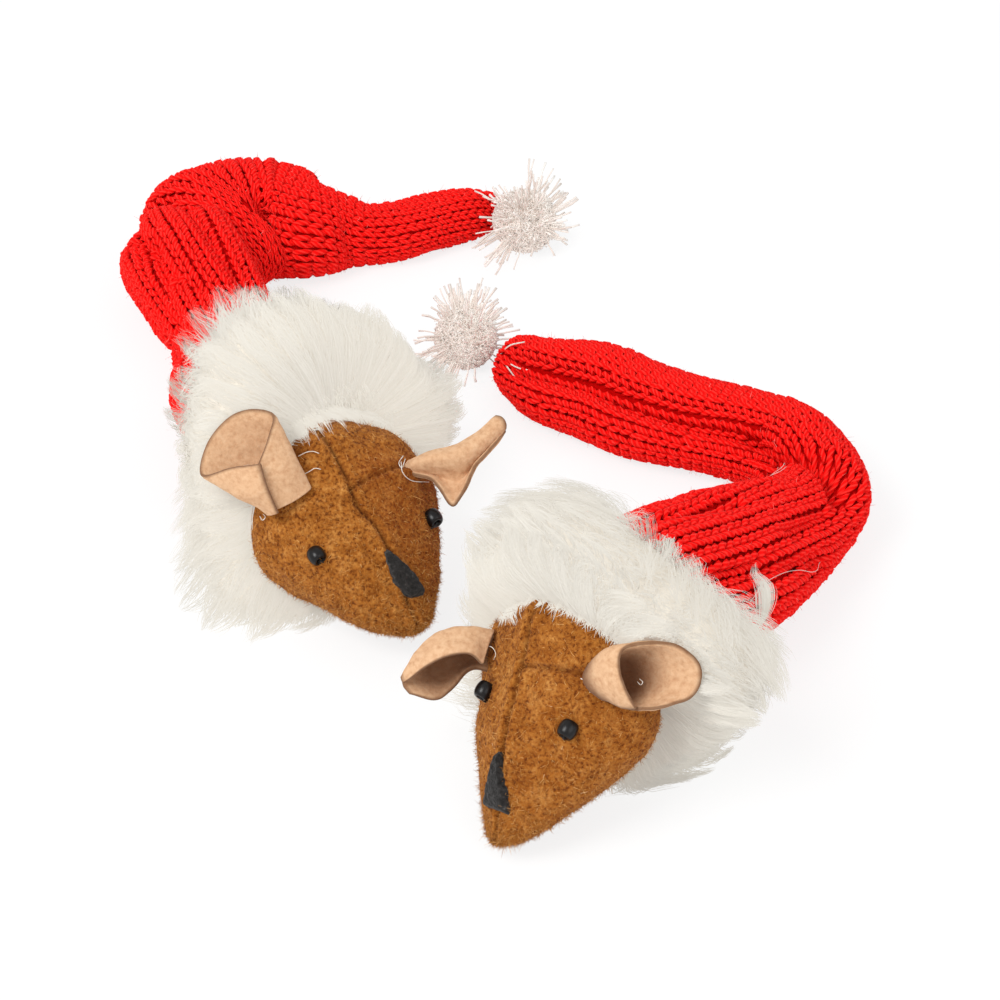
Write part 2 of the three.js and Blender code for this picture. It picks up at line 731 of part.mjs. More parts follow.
// The tie: a thread wound round the gathered tip of the tail in one unbroken helix
function tieThread(stations) {
  const last = stations.length - 1;
  const { side } = tubeWay(stations, last - 1, last);
  const widest = stations[last - 1][3] * hatLength;
  const start = stationPoint(stations[last - 1]);
  const run = stationPoint(stations[last]).sub(start);
  const radius = widest + seamGap + tieThreadRadius;
  const perTurn = 12;
  const count = tieTurns * perTurn;
  const edge = 0.2; // share of the gathered stretch left bare at each end
  const points = Array.from({ length: count + 1 }, (_, i) => {
    const angle = (fullTurn * i) / perTurn;
    const point = start.clone().addScaledVector(run, edge + ((1 - 2 * edge) * i) / count);
    point.addScaledVector(side, radius * Math.cos(angle));
    return point.setZ(point.z + radius * Math.sin(angle));
  });
  return rod(new THREE.CatmullRomCurve3(points), tieThreadRadius, count);
}

// The pompom: a yarn ball with short tufts, and the neck of threads that holds it, from its round
// end at the origin to the ball's middle
function pompomForm(radius, reach) {
  const ball = new THREE.IcosahedronGeometry(radius, ballSplitCount);
  ball.translate(reach, 0, 0);
  const neckEnd = new THREE.SphereGeometry(pompomNeckRadius, roundSegments, roundRows);
  const neck = new THREE.CylinderGeometry(pompomNeckRadius, pompomNeckRadius, reach, roundSegments);
  neck.rotateZ(quarterTurn);
  neck.translate(reach / 2, 0, 0);
  const goldenTurn = Math.PI * (3 - Math.sqrt(5));
  const coneAxis = new THREE.Vector3(0, 1, 0);
  const backShare = -0.8;
  const tufts = [];
  for (let i = 0; i < pompomTuftCount; i += 1) {
    const forward = 1 - (2 * (i + 0.5)) / pompomTuftCount;
    if (forward < backShare) continue;
    const round = Math.sqrt(1 - forward * forward);
    const angle = goldenTurn * i;
    const way = new THREE.Vector3(forward, round * Math.cos(angle), round * Math.sin(angle));
    const tuft = new THREE.ConeGeometry(pompomTuftRadius, pompomTuftRise * 2, tuftSides);
    tuft.translate(0, radius, 0);
    tuft.applyQuaternion(new THREE.Quaternion().setFromUnitVectors(coneAxis, way));
    tufts.push(tuft.translate(reach, 0, 0));
  }
  return join(ball, neckEnd, neck, ...tufts);
}

// A mouse lying on the ground
function addMouse(mouse, pair) {
  const body = new THREE.Group();
  body.name = mouse.name;
  body.position.set(...mouse.spotShares, 0).multiplyScalar(headSpacing);
  pair.add(body);
  const head = new THREE.Group();
  head.position.set(0, 0, mouse.headLiftShare * headHeight);
  head.setRotationFromEuler(turned(mouse.headTurn));
  body.add(head);
  head.updateMatrix();
  const ground = groundBlock();

  const dimples = addEyes(mouse, head);
  addHead(mouse, head, moved(ground, head.matrix.clone().invert()), dimples);
  addNose(mouse, head);
  const earRooms = addEars(mouse, head).map((room) => moved(room, head.matrix));
  piece(`${mouse.name}_ruff_backing`, backingBand(0), materials.backing, head);

  // The hat: its crown starts round the back of the head and ends in a socket for the tail's dome
  const neckRoom = moved(headRoom(), head.matrix);
  const backingRoom = moved(backingBand(seamGap), head.matrix);
  const hinge = stationPoint(mouse.tailShares[0]);
  const { side } = tubeWay(mouse.tailShares, 0, 1);
  const tailDome = mouse.tailShares[0][4] * hatLength;
  const tailRoom = tube(mouse.tailShares, seamGap, tailDome);
  const lifted = (angle) => {
    const turn = new THREE.Matrix4().makeRotationAxis(side, -radians(angle));
    const there = new THREE.Matrix4().makeTranslation(hinge.x, hinge.y, hinge.z);
    return moved(tailRoom, there.clone().multiply(turn).multiply(there.clone().invert()));
  };
  const crownDome = pileHalfWidth / 4;
  const crownForm = tube(mouse.crownShares, 0, crownDome);
  const crown = cut(crownForm, neckRoom, backingRoom, ground, lifted(0), lifted(tailLift));
  piece(`${mouse.name}_hat_crown`, crown, materials.knit, body);
  piece(`${mouse.name}_hat_tail`, cut(tube(mouse.tailShares, 0, tailDome), ground), materials.knit, body);
  piece(`${mouse.name}_tip_tie`, tieThread(mouse.tailShares), materials.thread, body);

  // The ruff's pile, cut where the head, the backing, the crown and the flexing ears are
  const crownRoom = tube(mouse.crownShares, seamGap, crownDome);
  const pile = cut(ruffPile(mouse), neckRoom, backingRoom, crownRoom, ground, ...earRooms);
  piece(`${mouse.name}_ruff_pile`, mainBody(pile), materials.fur, body);

  // The pompom hangs by its neck from the end of the tail
  const radius = pompomRadius * mouse.pompomShare;
  const last = mouse.tailShares.length - 1;
  const { direction } = tubeWay(mouse.tailShares, last - 1, last);
  const middle = placeOf([...mouse.pompomPlaceShares, 0]).setZ(radius - groundSink);
  const pompom = new THREE.Group();
  pompom.name = `${mouse.name}_pompom_neck`;
  pompom.position.copy(stationPoint(mouse.tailShares[last]));
  pompom.position.addScaledVector(direction, pompomNeckRadius + seamGap);
  const way = middle.clone().sub(pompom.position);
  const reach = way.length();
  pompom.quaternion.setFromUnitVectors(new THREE.Vector3(1, 0, 0), way.normalize());
  body.add(pompom);
  pompom.updateMatrix();
  const groundHere = moved(ground, pompom.matrix.clone().invert());
  piece(`${mouse.name}_pompom`, cut(pompomForm(radius, reach), groundHere), materials.pompom, pompom);
}

const pair = new THREE.Group();
for (const mouse of mice) addMouse(mouse, pair);
const middle = new THREE.Box3().setFromObject(pair, true).getCenter(new THREE.Vector3());
for (const body of pair.children) body.position.sub(middle.setZ(0));

export default pair;
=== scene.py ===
# A pair of stuffed mouse cat toys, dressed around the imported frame: boiled wool heads, suede ears,
# fur ruffs, knitted hats and yarn pompoms. Lengths are in millimetres until a mesh is made, and a
# mouse's places are measured from its own spot on the ground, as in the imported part.
import json
import math

import bpy
import numpy as np
from mathutils import Matrix, Vector
from mathutils.kdtree import KDTree


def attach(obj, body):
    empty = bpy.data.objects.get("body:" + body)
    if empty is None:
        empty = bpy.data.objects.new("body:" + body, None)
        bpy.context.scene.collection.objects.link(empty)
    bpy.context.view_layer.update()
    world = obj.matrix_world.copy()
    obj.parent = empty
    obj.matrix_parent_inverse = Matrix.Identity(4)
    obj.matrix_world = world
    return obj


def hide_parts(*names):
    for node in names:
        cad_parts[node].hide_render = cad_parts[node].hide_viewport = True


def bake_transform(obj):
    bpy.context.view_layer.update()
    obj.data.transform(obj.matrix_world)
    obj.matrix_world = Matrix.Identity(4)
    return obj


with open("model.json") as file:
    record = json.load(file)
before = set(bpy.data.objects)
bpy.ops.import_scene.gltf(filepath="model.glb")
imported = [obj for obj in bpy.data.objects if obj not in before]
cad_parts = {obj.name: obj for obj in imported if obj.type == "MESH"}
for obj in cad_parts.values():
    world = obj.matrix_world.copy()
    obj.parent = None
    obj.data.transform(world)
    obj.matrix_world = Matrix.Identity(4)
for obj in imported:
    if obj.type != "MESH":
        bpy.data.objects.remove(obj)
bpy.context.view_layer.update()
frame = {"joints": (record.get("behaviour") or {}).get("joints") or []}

MM = 0.001
TAU = 2 * math.pi
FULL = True

# Head
HEAD_LENGTH = 47
HEAD_HEIGHT = 32
HEAD_HALF_WIDTH = 18.5
HEAD_BACK = -5
STATION_SHARES = [0, 0.11, 0.25, 0.4, 0.55, 0.68, 0.79, 0.89, 0.965, 1]
TOP_SHARES = [0.69, 0.79, 0.88, 0.8, 0.71, 0.64, 0.54, 0.42, 0.35, 0.31]
BOTTOM_SHARES = [0.22, 0.17, 0.06, -0.03, -0.03, 0.03, 0.1, 0.17, 0.24, 0.31]
WIDTH_SHARES = [0.35, 0.56, 0.88, 1, 0.86, 0.69, 0.53, 0.35, 0.18, 0]

# Eyes, nose patch and ears
BEAD_RADIUS = 1.65
BEAD_LENGTH = 3.0
BEAD_HOLE_RADIUS = 0.3
BEAD_PROUD = 0.75
NOSE_START_SHARE = 0.726
NOSE_END_SHARE = 0.895
NOSE_HALF_WIDTH = 2.8
NOSE_THICKNESS = 1.0
SUEDE_THICKNESS = 1.2
LEAF_THICKNESS = 0.9

# Ruff
RING_RADIUS = 19.8
PILE_LENGTH = 9.8
PILE_DEPTH = 15
PILE_HALF_WIDTH = 11.5
PILE_SPLAY = 15
PILE_SPLAY_HEIGHT = 16

# Hat and pompom
HAT_LENGTH = 150
GROUND_SINK = 0.5
POMPOM_RADIUS = 8.5

MICE = [
    {
        "name": "mouse_one",
        "head_lift_share": 0.211,
        "head_turn": (31, 9.6, 3.7),
        "nose_shares": [0.12, 0.4, 0.62, 0.77, 0.8, 0.45],
        "ruff_place": [0.007, 0.032, 0.143],
        "ruff_turn": (37.5, -17, 0),
        "eyes": {"right": (0.61, 0.57), "left": (0.635, 0.5)},
        "ears": {"right": (0.39, 0.72), "left": (0.42, 0.64)},
        "crown": [
            [-0.006, 0.025, 0.063, 0.075, 0.075],
            [-0.056, 0.105, 0.018, 0.1, 0.1],
            [-0.111, 0.205, 0.006, 0.085, 0.08],
            [-0.141, 0.315, 0, 0.068, 0.068],
            [-0.181, 0.425, 0, 0.073, 0.065],
            [-0.201, 0.525, 0, 0.095, 0.065],
            [-0.171, 0.62, 0, 0.118, 0.07],
            [-0.106, 0.66, 0, 0.12, 0.07],
            [-0.041, 0.658, 0, 0.1, 0.062],
            [0.004, 0.655, 0, 0.062, 0.048],
            [0.044, 0.655, 0, 0.045, 0.04],
        ],
        "tail": [
            [0.044, 0.655, 0, 0.045, 0.04],
            [0.089, 0.665, 0, 0.053, 0.04],
            [0.139, 0.68, 0, 0.057, 0.04],
            [0.189, 0.697, 0, 0.048, 0.038],
            [0.21, 0.693, 0.014, 0.024, 0.024],
            [0.236, 0.685, 0.016, 0.022, 0.022],
        ],
        "pompom_place": [0.294, 0.664],
        "pompom_share": 1,
        "pompom_shift": [-2.0, 0.6],
        "shown_stations": {
            7: [-0.106, 0.652, 0, 0.112, 0.068],
            8: [-0.041, 0.648, 0, 0.09, 0.06],
            11: [0.089, 0.668, 0, 0.05, 0.038],
            12: [0.139, 0.698, 0, 0.049, 0.035],
            13: [0.189, 0.718, 0.001, 0.04, 0.034],
            14: [0.222, 0.731, 0.007, 0.031, 0.026],
            15: [0.239, 0.733, 0.013, 0.023, 0.019],
        },
        "nose_lean": 2.3,
        "ruff_reach": [(0, 1), (15, -5), (30, -5), (45, -4), (60, -3.5), (75, -2.5), (90, 0), (105, 3),
                       (120, 3), (135, 1.5), (150, -1), (180, -2), (210, 0), (240, 0), (255, -1),
                       (270, -4), (285, -8), (300, -9), (315, -9), (330, -5), (345, 2)],
        "ruff_front": [(0, 0.9), (90, 1), (180, 1), (270, 1)],
        "ruff_splay": [(0, 0.3), (180, 1), (240, 1), (270, 0.6), (285, 0.2), (330, 0)],
    },
    {
        "name": "mouse_two",
        "head_lift_share": 0.4406,
        "head_turn": (-44.8, 27.9, 22.8),
        "nose_shares": [0.08, 0.3, 0.52, 0.75, 1, 0.92],
        "ruff_place": [-0.037, -0.024, 0.167],
        "ruff_turn": (-42, 24, 0),
        "eyes": {"right": (0.54, 0.665), "left": (0.575, 0.585)},
        "ears": {"right": (0.43, 0.71), "left": (0.385, 0.7)},
        "crown": [
            [-0.035, 0.026, 0.098, 0.075, 0.075],
            [0.02, 0.091, 0.053, 0.1, 0.09],
            [0.095, 0.166, 0.023, 0.105, 0.085],
            [0.165, 0.246, 0.013, 0.085, 0.068],
            [0.225, 0.311, 0.003, 0.068, 0.058],
            [0.25, 0.381, 0, 0.065, 0.055],
            [0.22, 0.451, 0, 0.068, 0.055],
            [0.16, 0.496, 0, 0.073, 0.052],
            [0.09, 0.524, 0, 0.077, 0.05],
            [0.021, 0.558, 0, 0.079, 0.05],
        ],
        "tail": [
            [0.021, 0.558, 0, 0.079, 0.05],
            [-0.032, 0.593, 0, 0.078, 0.05],
            [-0.087, 0.621, 0, 0.071, 0.047],
            [-0.128, 0.651, 0, 0.055, 0.041],
            [-0.149, 0.668, 0.014, 0.024, 0.024],
            [-0.169, 0.685, 0.016, 0.022, 0.022],
        ],
        "pompom_place": [-0.215, 0.727],
        "pompom_share": 0.92,
        "pompom_shift": [-0.6, -1.8],
        "shown_stations": {
            4: [0.222, 0.311, 0.003, 0.066, 0.058],
            5: [0.243, 0.381, 0, 0.064, 0.055],
            12: [-0.127, 0.655, 0, 0.054, 0.041],
            13: [-0.141, 0.669, 0.003, 0.045, 0.038],
            14: [-0.153, 0.681, 0.008, 0.034, 0.031],
        },
        "nose_lean": 0,
        "ruff_reach": [(0, -0.5), (15, 3), (30, 2.5), (45, 1), (60, 1), (75, 4), (90, 5), (105, 3), (120, 0),
                       (137, -4.5), (152, 0), (165, 1), (180, 1), (195, 2), (210, 3), (225, 3), (240, 1),
                       (255, 0), (270, 0), (285, -1), (300, -6), (315, -7), (330, -6), (345, -3)],
        "ruff_front": [(0, 0.42), (60, 0.4), (120, 0.42), (160, 0.7), (200, 1), (300, 0.9), (330, 0.6)],
        "ruff_splay": [(0, 0.8), (180, 1), (260, 1), (300, 0.5), (330, 0.5)],
    },
]


# Numbers

def unit(vectors):
    return vectors / np.maximum(np.linalg.norm(vectors, axis=-1, keepdims=True), 1e-9)


def lerp(a, b, share):
    return a + (b - a) * share


def smooth_step(low, high, x):
    t = np.clip((x - low) / (high - low), 0, 1)
    return t * t * (3 - 2 * t)


def smooth_through(places, values):
    """A smooth curve through stations: cubic pieces whose slopes come from the neighbours."""
    places, values = np.array(places, float), np.array(values, float)
    last = len(places) - 1
    before = np.maximum(np.arange(last + 1) - 1, 0)
    after = np.minimum(np.arange(last + 1) + 1, last)
    slopes = (values[after] - values[before]) / (places[after] - places[before])

    def at(x):
        x = np.asarray(x, float)
        i = np.clip(np.searchsorted(places, x, side="right") - 1, 0, last - 1)
        span = places[i + 1] - places[i]
        t = np.clip((x - places[i]) / span, 0, 1)
        rest = 1 - t
        ends = values[i] * rest * rest * (1 + 2 * t) + values[i + 1] * t * t * (3 - 2 * t)
        return ends + span * t * rest * (slopes[i] * rest - slopes[i + 1] * t)

    return at


def round_table(rows):
    """A smooth curve round a ring through rows of degrees and values."""
    places, values = (list(column) for column in zip(*rows))
    places = [places[-1] - 360, *places, places[0] + 360]
    at = smooth_through(places, [values[-1], *values, values[0]])
    return lambda angle: at(np.degrees(angle) % 360)


def lattice_value(cells, seed):
    """A number from -1 to 1 for each whole-number cell."""
    x, y, z = (cells[..., k].astype(np.int64) for k in range(3))
    mixed = (x * 374761393 + y * 668265263 + z * 1440662683 + seed * 974634777) & 0xFFFFFFFF
    mixed = ((mixed ^ (mixed >> 13)) * 1274126177) & 0xFFFFFFFF
    return ((mixed ^ (mixed >> 16)) & 0xFFFF) / 32767.5 - 1


def noise(points, size, seed):
    """Smooth noise from -1 to 1, with lumps of a given size."""
    scaled = points / size
    cell = np.floor(scaled)
    part = scaled - cell
    part = part * part * (3 - 2 * part)
    total = 0
    for corner in np.ndindex(2, 2, 2):
        offset = np.array(corner)
        weight = np.prod(np.where(offset == 1, part, 1 - part), axis=-1)
        total = total + weight * lattice_value(cell + offset, seed)
    return total


def turn_about(axis, degrees):
    return np.array(Matrix.Rotation(math.radians(degrees), 3, axis))


def mouse_turn(yaw, pitch, roll):
    """A head's or a ruff's own axes, its nose along +X, set into the mouse's."""
    return turn_about("Z", yaw - 90) @ turn_about("X", roll) @ turn_about("Y", pitch)


def place_of(shares):
    return np.array(shares, float) * HAT_LENGTH


# Meshes

def volume_of(points, faces):
    """Six times the volume that faces enclose, below zero where they are inside out."""
    total = 0
    for corners in faces:
        for k in range(1, corners.shape[1] - 1):
            a, b, c = (points[corners[:, i]] for i in (0, k, k + 1))
            total += (a * np.cross(b, c)).sum()
    return total


def make_piece(name, points, faces, material, attributes=None, uv=None, closed=True, normals=None):
    """A mesh object from points in millimetres and arrays of faces of three or four corners."""
    mesh = bpy.data.meshes.new(name)
    points = np.asarray(points, float)
    faces = [f for f in faces if len(f)]
    if closed and volume_of(points - points.mean(0), faces) < 0:
        faces = [f[:, ::-1] for f in faces]
    mesh.vertices.add(len(points))
    mesh.vertices.foreach_set("co", (np.asarray(points) * MM).astype(np.float32).ravel())
    corners = np.concatenate([f.ravel() for f in faces])
    counts = np.concatenate([np.full(len(f), f.shape[1]) for f in faces])
    starts = np.concatenate([[0], np.cumsum(counts)[:-1]])
    mesh.loops.add(len(corners))
    mesh.loops.foreach_set("vertex_index", corners.astype(np.int32))
    mesh.polygons.add(len(counts))
    mesh.polygons.foreach_set("loop_start", starts.astype(np.int32))
    mesh.polygons.foreach_set("use_smooth", np.full(len(counts), True))
    mesh.update(calc_edges=True)
    for key, values in (attributes or {}).items():
        layer = mesh.attributes.new(key, "FLOAT", "POINT")
        layer.data.foreach_set("value", np.asarray(values, np.float32).ravel())
    if uv is not None:
        layer = mesh.uv_layers.new(name="UVMap")
        layer.data.foreach_set("uv", uv[corners].astype(np.float32).ravel())
    if normals is not None:
        mesh.normals_split_custom_set_from_vertices(normals.astype(np.float32))
    mesh.materials.append(material)
    piece = bpy.data.objects.new(name, mesh)
    bpy.context.scene.collection.objects.link(piece)
    return piece


def grid_faces(rows, columns, closed=True):
    """Four-cornered faces over a grid of points, closed round its columns or open."""
    i = np.arange(rows - 1)[:, None]
    j = np.arange(columns if closed else columns - 1)[None, :]
    after = (j + 1) % columns
    faces = [i * columns + j, i * columns + after, (i + 1) * columns + after, (i + 1) * columns + j]
    return np.stack(np.broadcast_arrays(*faces), -1).reshape(-1, 4)


def closed_tube(rings):
    """Points and faces of rings of points, closed at each end by a point in the ring's middle."""
    rows, columns = rings.shape[:2]
    points = np.concatenate([rings.reshape(-1, 3), rings[:1].mean(1), rings[-1:].mean(1)])
    j = np.arange(columns)
    after = (j + 1) % columns
    start = np.stack([np.full(columns, rows * columns), after, j], -1)
    end_ring = (rows - 1) * columns
    end = np.stack([np.full(columns, rows * columns + 1), end_ring + j, end_ring + after], -1)
    return points, [grid_faces(rows, columns), start, end]


def grid_normals(grid, closed=True):
    """The way out of a grid of points, for a grid that turns anticlockwise seen from its end."""
    down = np.gradient(grid, axis=0)
    if closed:
        across = np.roll(grid, -1, 1) - np.roll(grid, 1, 1)
    else:
        across = np.gradient(grid, axis=1)
    return unit(np.cross(across, down))


def ribbons(name, lines, widths, facing, material, tone, taper, soft=None):
    """Flat strands along lines of points, tapered as told, their flat sides facing one way.
    Soft strands take the light as the surface under them would, whose ways out are given."""
    count, steps = lines.shape[:2]
    along = unit(np.gradient(lines, axis=1))
    sides = np.cross(along, facing[:, None, :])
    sides /= np.maximum(np.linalg.norm(sides, axis=-1, keepdims=True), 0.45)
    half = (0.5 * widths[:, None] * np.asarray(taper)[None, :])[..., None]
    points = np.stack([lines - sides * half, lines + sides * half], 2).reshape(-1, 3)
    strand = np.arange(count)[:, None] * steps * 2
    step = np.arange(steps - 1)[None, :] * 2
    base = strand + step
    faces = np.stack([base, base + 1, base + 3, base + 2], -1).reshape(-1, 4)
    share = np.tile(np.repeat(np.linspace(0, 1, steps), 2), count)
    attributes = {"tone": np.repeat(tone, steps * 2), "along": share}
    normals = None if soft is None else np.repeat(soft, steps * 2, axis=0)
    return make_piece(name, points, [faces], material, attributes, closed=False, normals=normals)


def through(points, count):
    """A smooth line through points, or a smooth sheet through rows of them, along the first axis."""
    points = np.asarray(points, float)
    last = len(points) - 1
    place = np.linspace(0, last, count)
    i = np.minimum(place.astype(int), last - 1)
    t = (place - i).reshape(-1, *[1] * (points.ndim - 1))
    slopes = np.gradient(points, axis=0)
    rest = 1 - t
    ends = points[i] * rest * rest * (1 + 2 * t) + points[i + 1] * t * t * (3 - 2 * t)
    return ends + t * rest * (slopes[i] * rest - slopes[i + 1] * t)


def yarns(lines, normals, radii, sides):
    """Round closed yarns along lines of points, as points, faces and texture places."""
    count, steps = lines.shape[:2]
    along = unit(np.gradient(lines, axis=1))
    across = unit(np.cross(along, normals))
    out = np.cross(across, along)
    angles = TAU * np.arange(sides) / sides
    ring = across[:, :, None] * np.cos(angles)[:, None] + out[:, :, None] * np.sin(angles)[:, None]
    points = lines[:, :, None] + ring * radii[:, :, None, None]
    per_yarn = steps * sides + 2
    points = np.concatenate([points.reshape(count, -1, 3), lines[:, :1], lines[:, -1:]], 1)
    one, (start, end) = grid_faces(steps, sides), (steps * sides, steps * sides + 1)
    j = np.arange(sides)
    after = (j + 1) % sides
    last = (steps - 1) * sides
    caps = np.concatenate([
        np.stack([np.full(sides, start), after, j], -1),
        np.stack([np.full(sides, end), last + j, last + after], -1),
    ])
    shift = (np.arange(count) * per_yarn)[:, None, None]
    u = np.concatenate([np.repeat(np.linspace(0, 1, steps), sides), [0, 1]])
    v = np.concatenate([np.tile(np.arange(sides) / sides, steps), [0, 0]])
    uv = np.tile(np.stack([u, v], -1), (count, 1))
    faces = [(one + shift).reshape(-1, 4), (caps + shift).reshape(-1, 3)]
    return points.reshape(-1, 3), faces, uv


def thread_piece(name, lines, normals, radius, sides, material):
    """Threads of one radius along lines of points."""
    radii = np.full(lines.shape[:2], radius)
    points, faces, uv = yarns(lines, normals, radii, sides)
    return make_piece(name, points, faces, material, uv=uv)


# Materials

def colour(red, green, blue):
    """A screen colour from 0 to 255 as the linear one that shaders use."""
    screen = np.array([red, green, blue]) / 255
    linear = np.where(screen <= 0.04045, screen / 12.92, ((screen + 0.055) / 1.055) ** 2.4)
    return (*linear, 1)


class Shade:
    """A material made of nodes round one shader."""

    def __init__(self, name, roughness, sheen=0.0, specular=0.3, coat=0.0):
        self.material = bpy.data.materials.new(name)
        self.material.use_nodes = True
        self.nodes = self.material.node_tree.nodes
        self.links = self.material.node_tree.links
        self.shader = self.nodes["Principled BSDF"]
        self.shader.inputs["Roughness"].default_value = roughness
        self.shader.inputs["Sheen Weight"].default_value = sheen
        self.shader.inputs["Sheen Roughness"].default_value = 0.5
        self.shader.inputs["Specular IOR Level"].default_value = specular
        self.shader.inputs["Coat Weight"].default_value = coat

    def node(self, kind, inputs=(), **settings):
        made = self.nodes.new(kind)
        for key, value in settings.items():
            setattr(made, key, value)
        for key, value in dict(inputs).items():
            if isinstance(value, bpy.types.NodeSocket):
                self.links.new(value, made.inputs[key])
            else:
                made.inputs[key].default_value = value
        return made

    def noise(self, scale, detail=3.0, roughness=0.55, vector=None):
        inputs = {"Scale": scale, "Detail": detail, "Roughness": roughness}
        inputs["Vector"] = vector or self.place()
        return self.node("ShaderNodeTexNoise", inputs).outputs["Fac"]

    def place(self):
        return self.node("ShaderNodeTexCoord").outputs["Object"]

    def uv(self):
        return self.node("ShaderNodeTexCoord").outputs["UV"]

    def value(self, name):
        return self.node("ShaderNodeAttribute", attribute_name=name).outputs["Fac"]

    def ramp(self, factor, *stops):
        made = self.node("ShaderNodeValToRGB", {"Fac": factor})
        elements = made.color_ramp.elements
        while len(elements) < len(stops):
            elements.new(0.5)
        for element, (place, shade) in zip(elements, stops):
            element.position = place
            element.color = shade
        return made.outputs["Color"]

    def mix(self, factor, first, second, blend="MIX"):
        made = self.node("ShaderNodeMix", data_type="RGBA", blend_type=blend)
        for key, value in ((0, factor), (6, first), (7, second)):
            if isinstance(value, bpy.types.NodeSocket):
                self.links.new(value, made.inputs[key])
            else:
                made.inputs[key].default_value = value
        return made.outputs[2]

    def maths(self, operation, first, second=0.0):
        return self.node("ShaderNodeMath", {0: first, 1: second}, operation=operation).outputs[0]

    def paint(self, shade):
        self.links.new(shade, self.shader.inputs["Base Color"])

    # Painted light: a glow from a surface that is no lamp.
    def painted_glow(self, shade, strength):
        self.shader.inputs["Emission Color"].default_value = shade
        self.shader.inputs["Emission Strength"].default_value = strength

    def bump(self, height, strength, distance):
        inputs = {"Height": height, "Strength": strength, "Distance": distance}
        normal = self.node("ShaderNodeBump", inputs).outputs["Normal"]
        self.links.new(normal, self.shader.inputs["Normal"])


def felt_material():
    shade = Shade("boiled_wool", 0.95, sheen=0.04, specular=0.08)
    cloud = shade.noise(330, 4)
    fine = shade.noise(1500, 3, 0.6)
    base = shade.ramp(cloud, (0.3, colour(150, 92, 34)), (0.52, colour(176, 115, 50)),
                      (0.72, colour(198, 142, 76)))
    pits = shade.ramp(fine, (0.34, colour(118, 70, 34)), (0.47, colour(214, 190, 164)),
                      (0.62, colour(250, 244, 236)), (0.8, colour(255, 255, 250)))
    base = shade.mix(0.85, base, pits, "MULTIPLY")
    # Painted shade: the bottoms of the seam's and dart's grooves are painted dark brown.
    crease = shade.maths("MULTIPLY", shade.value("crease"), 0.75)
    base = shade.mix(crease, base, colour(66, 28, 8))
    # Painted shade: the head's left side is painted darker and redder.
    shade.paint(shade.mix(shade.value("left_side_shade"), base, colour(126, 52, 10)))
    shade.bump(fine, 0.9, 0.0006)
    return shade.material


def felt_fibre_material():
    shade = Shade("wool_fibre", 0.9, specular=0.1)
    tone = shade.value("tone")
    shade.paint(shade.ramp(tone, (0, colour(132, 76, 26)), (0.5, colour(180, 122, 58)),
                           (0.92, colour(216, 166, 104)), (1, colour(240, 220, 190))))
    return shade.material


def suede_material():
    shade = Shade("suede", 0.92, sheen=0.05, specular=0.08)
    grain = shade.noise(1000, 4, 0.65)
    cloud = shade.noise(210, 3)
    base = shade.ramp(grain, (0.3, colour(188, 144, 108)), (0.52, colour(210, 170, 133)),
                      (0.8, colour(225, 190, 154)))
    base = shade.mix(shade.maths("MULTIPLY", cloud, 0.35), base, colour(190, 145, 110))
    # Painted shade: the ear's hollow is darkened towards its deepest part.
    base = shade.mix(shade.value("inside"), base, colour(84, 42, 18))
    shade.paint(shade.mix(shade.value("edge"), base, colour(78, 40, 20)))
    shade.bump(grain, 0.5, 0.0004)
    return shade.material


def knit_material():
    shade = Shade("red_yarn", 0.8, specular=0.06)
    wave = shade.node("ShaderNodeTexWave", {"Vector": shade.uv(), "Scale": 1.9, "Distortion": 1.2,
                                            "Detail": 2.0}, bands_direction="DIAGONAL")
    # Painted light: the ply bands follow the bump, painted lighter on the raised plies and darker between
    # them.
    base = shade.ramp(wave.outputs["Fac"], (0, colour(230, 10, 8)), (0.5, colour(251, 28, 24)),
                      (1, colour(255, 58, 50)))
    cloud = shade.noise(420, 3)
    shade.paint(shade.mix(shade.maths("MULTIPLY", cloud, 0.35), base, colour(226, 10, 8)))
    shade.bump(wave.outputs["Fac"], 0.5, 0.0003)
    return shade.material


def shaded_liner_material():
    shade = Shade("red_ground", 0.9, specular=0.04)
    # Painted shade: the inner side is painted a darker red than the yarn, for the shade in the gaps between
    # stitches.
    shade.paint(shade.ramp(shade.noise(1500, 3), (0.3, colour(160, 2, 2)), (0.7, colour(190, 5, 4))))
    return shade.material


def red_fibre_material():
    shade = Shade("red_fibre", 0.7, specular=0.1)
    shade.paint(shade.ramp(shade.value("tone"), (0, colour(226, 10, 8)), (0.8, colour(250, 60, 52)),
                           (1, colour(255, 150, 140))))
    return shade.material


def fur_material():
    shade = Shade("white_fur", 0.8, specular=0.1)
    base = shade.ramp(shade.value("tone"), (0, colour(174, 169, 160)), (0.5, colour(181, 177, 168)),
                      (1, colour(188, 184, 176)))
    rise = shade.ramp(shade.value("along"), (0, colour(240, 231, 218)), (0.4, colour(255, 255, 255)))
    shade.paint(shade.mix(0.7, base, rise, "MULTIPLY"))
    # Painted light: the fur glows a little, standing in for light that passes through the strands.
    shade.painted_glow(colour(255, 251, 243), 0.24)
    return shade.material


def fur_ground_material():
    shade = Shade("fur_ground", 1.0, specular=0.02)
    shade.paint(shade.ramp(shade.noise(700, 3), (0.3, colour(192, 185, 174)),
                           (0.7, colour(204, 198, 187))))
    shade.bump(shade.noise(1400, 2), 0.3, 0.0003)
    # Painted light: the ground under the fur glows a little too.
    shade.painted_glow(colour(255, 250, 240), 0.18)
    return shade.material


def pompom_material():
    shade = Shade("white_yarn", 0.45, sheen=0.1, specular=0.3)
    base = shade.ramp(shade.value("tone"), (0, colour(218, 206, 197)), (0.5, colour(231, 222, 214)),
                      (1, colour(244, 240, 234)))
    shade.paint(base)
    return shade.material


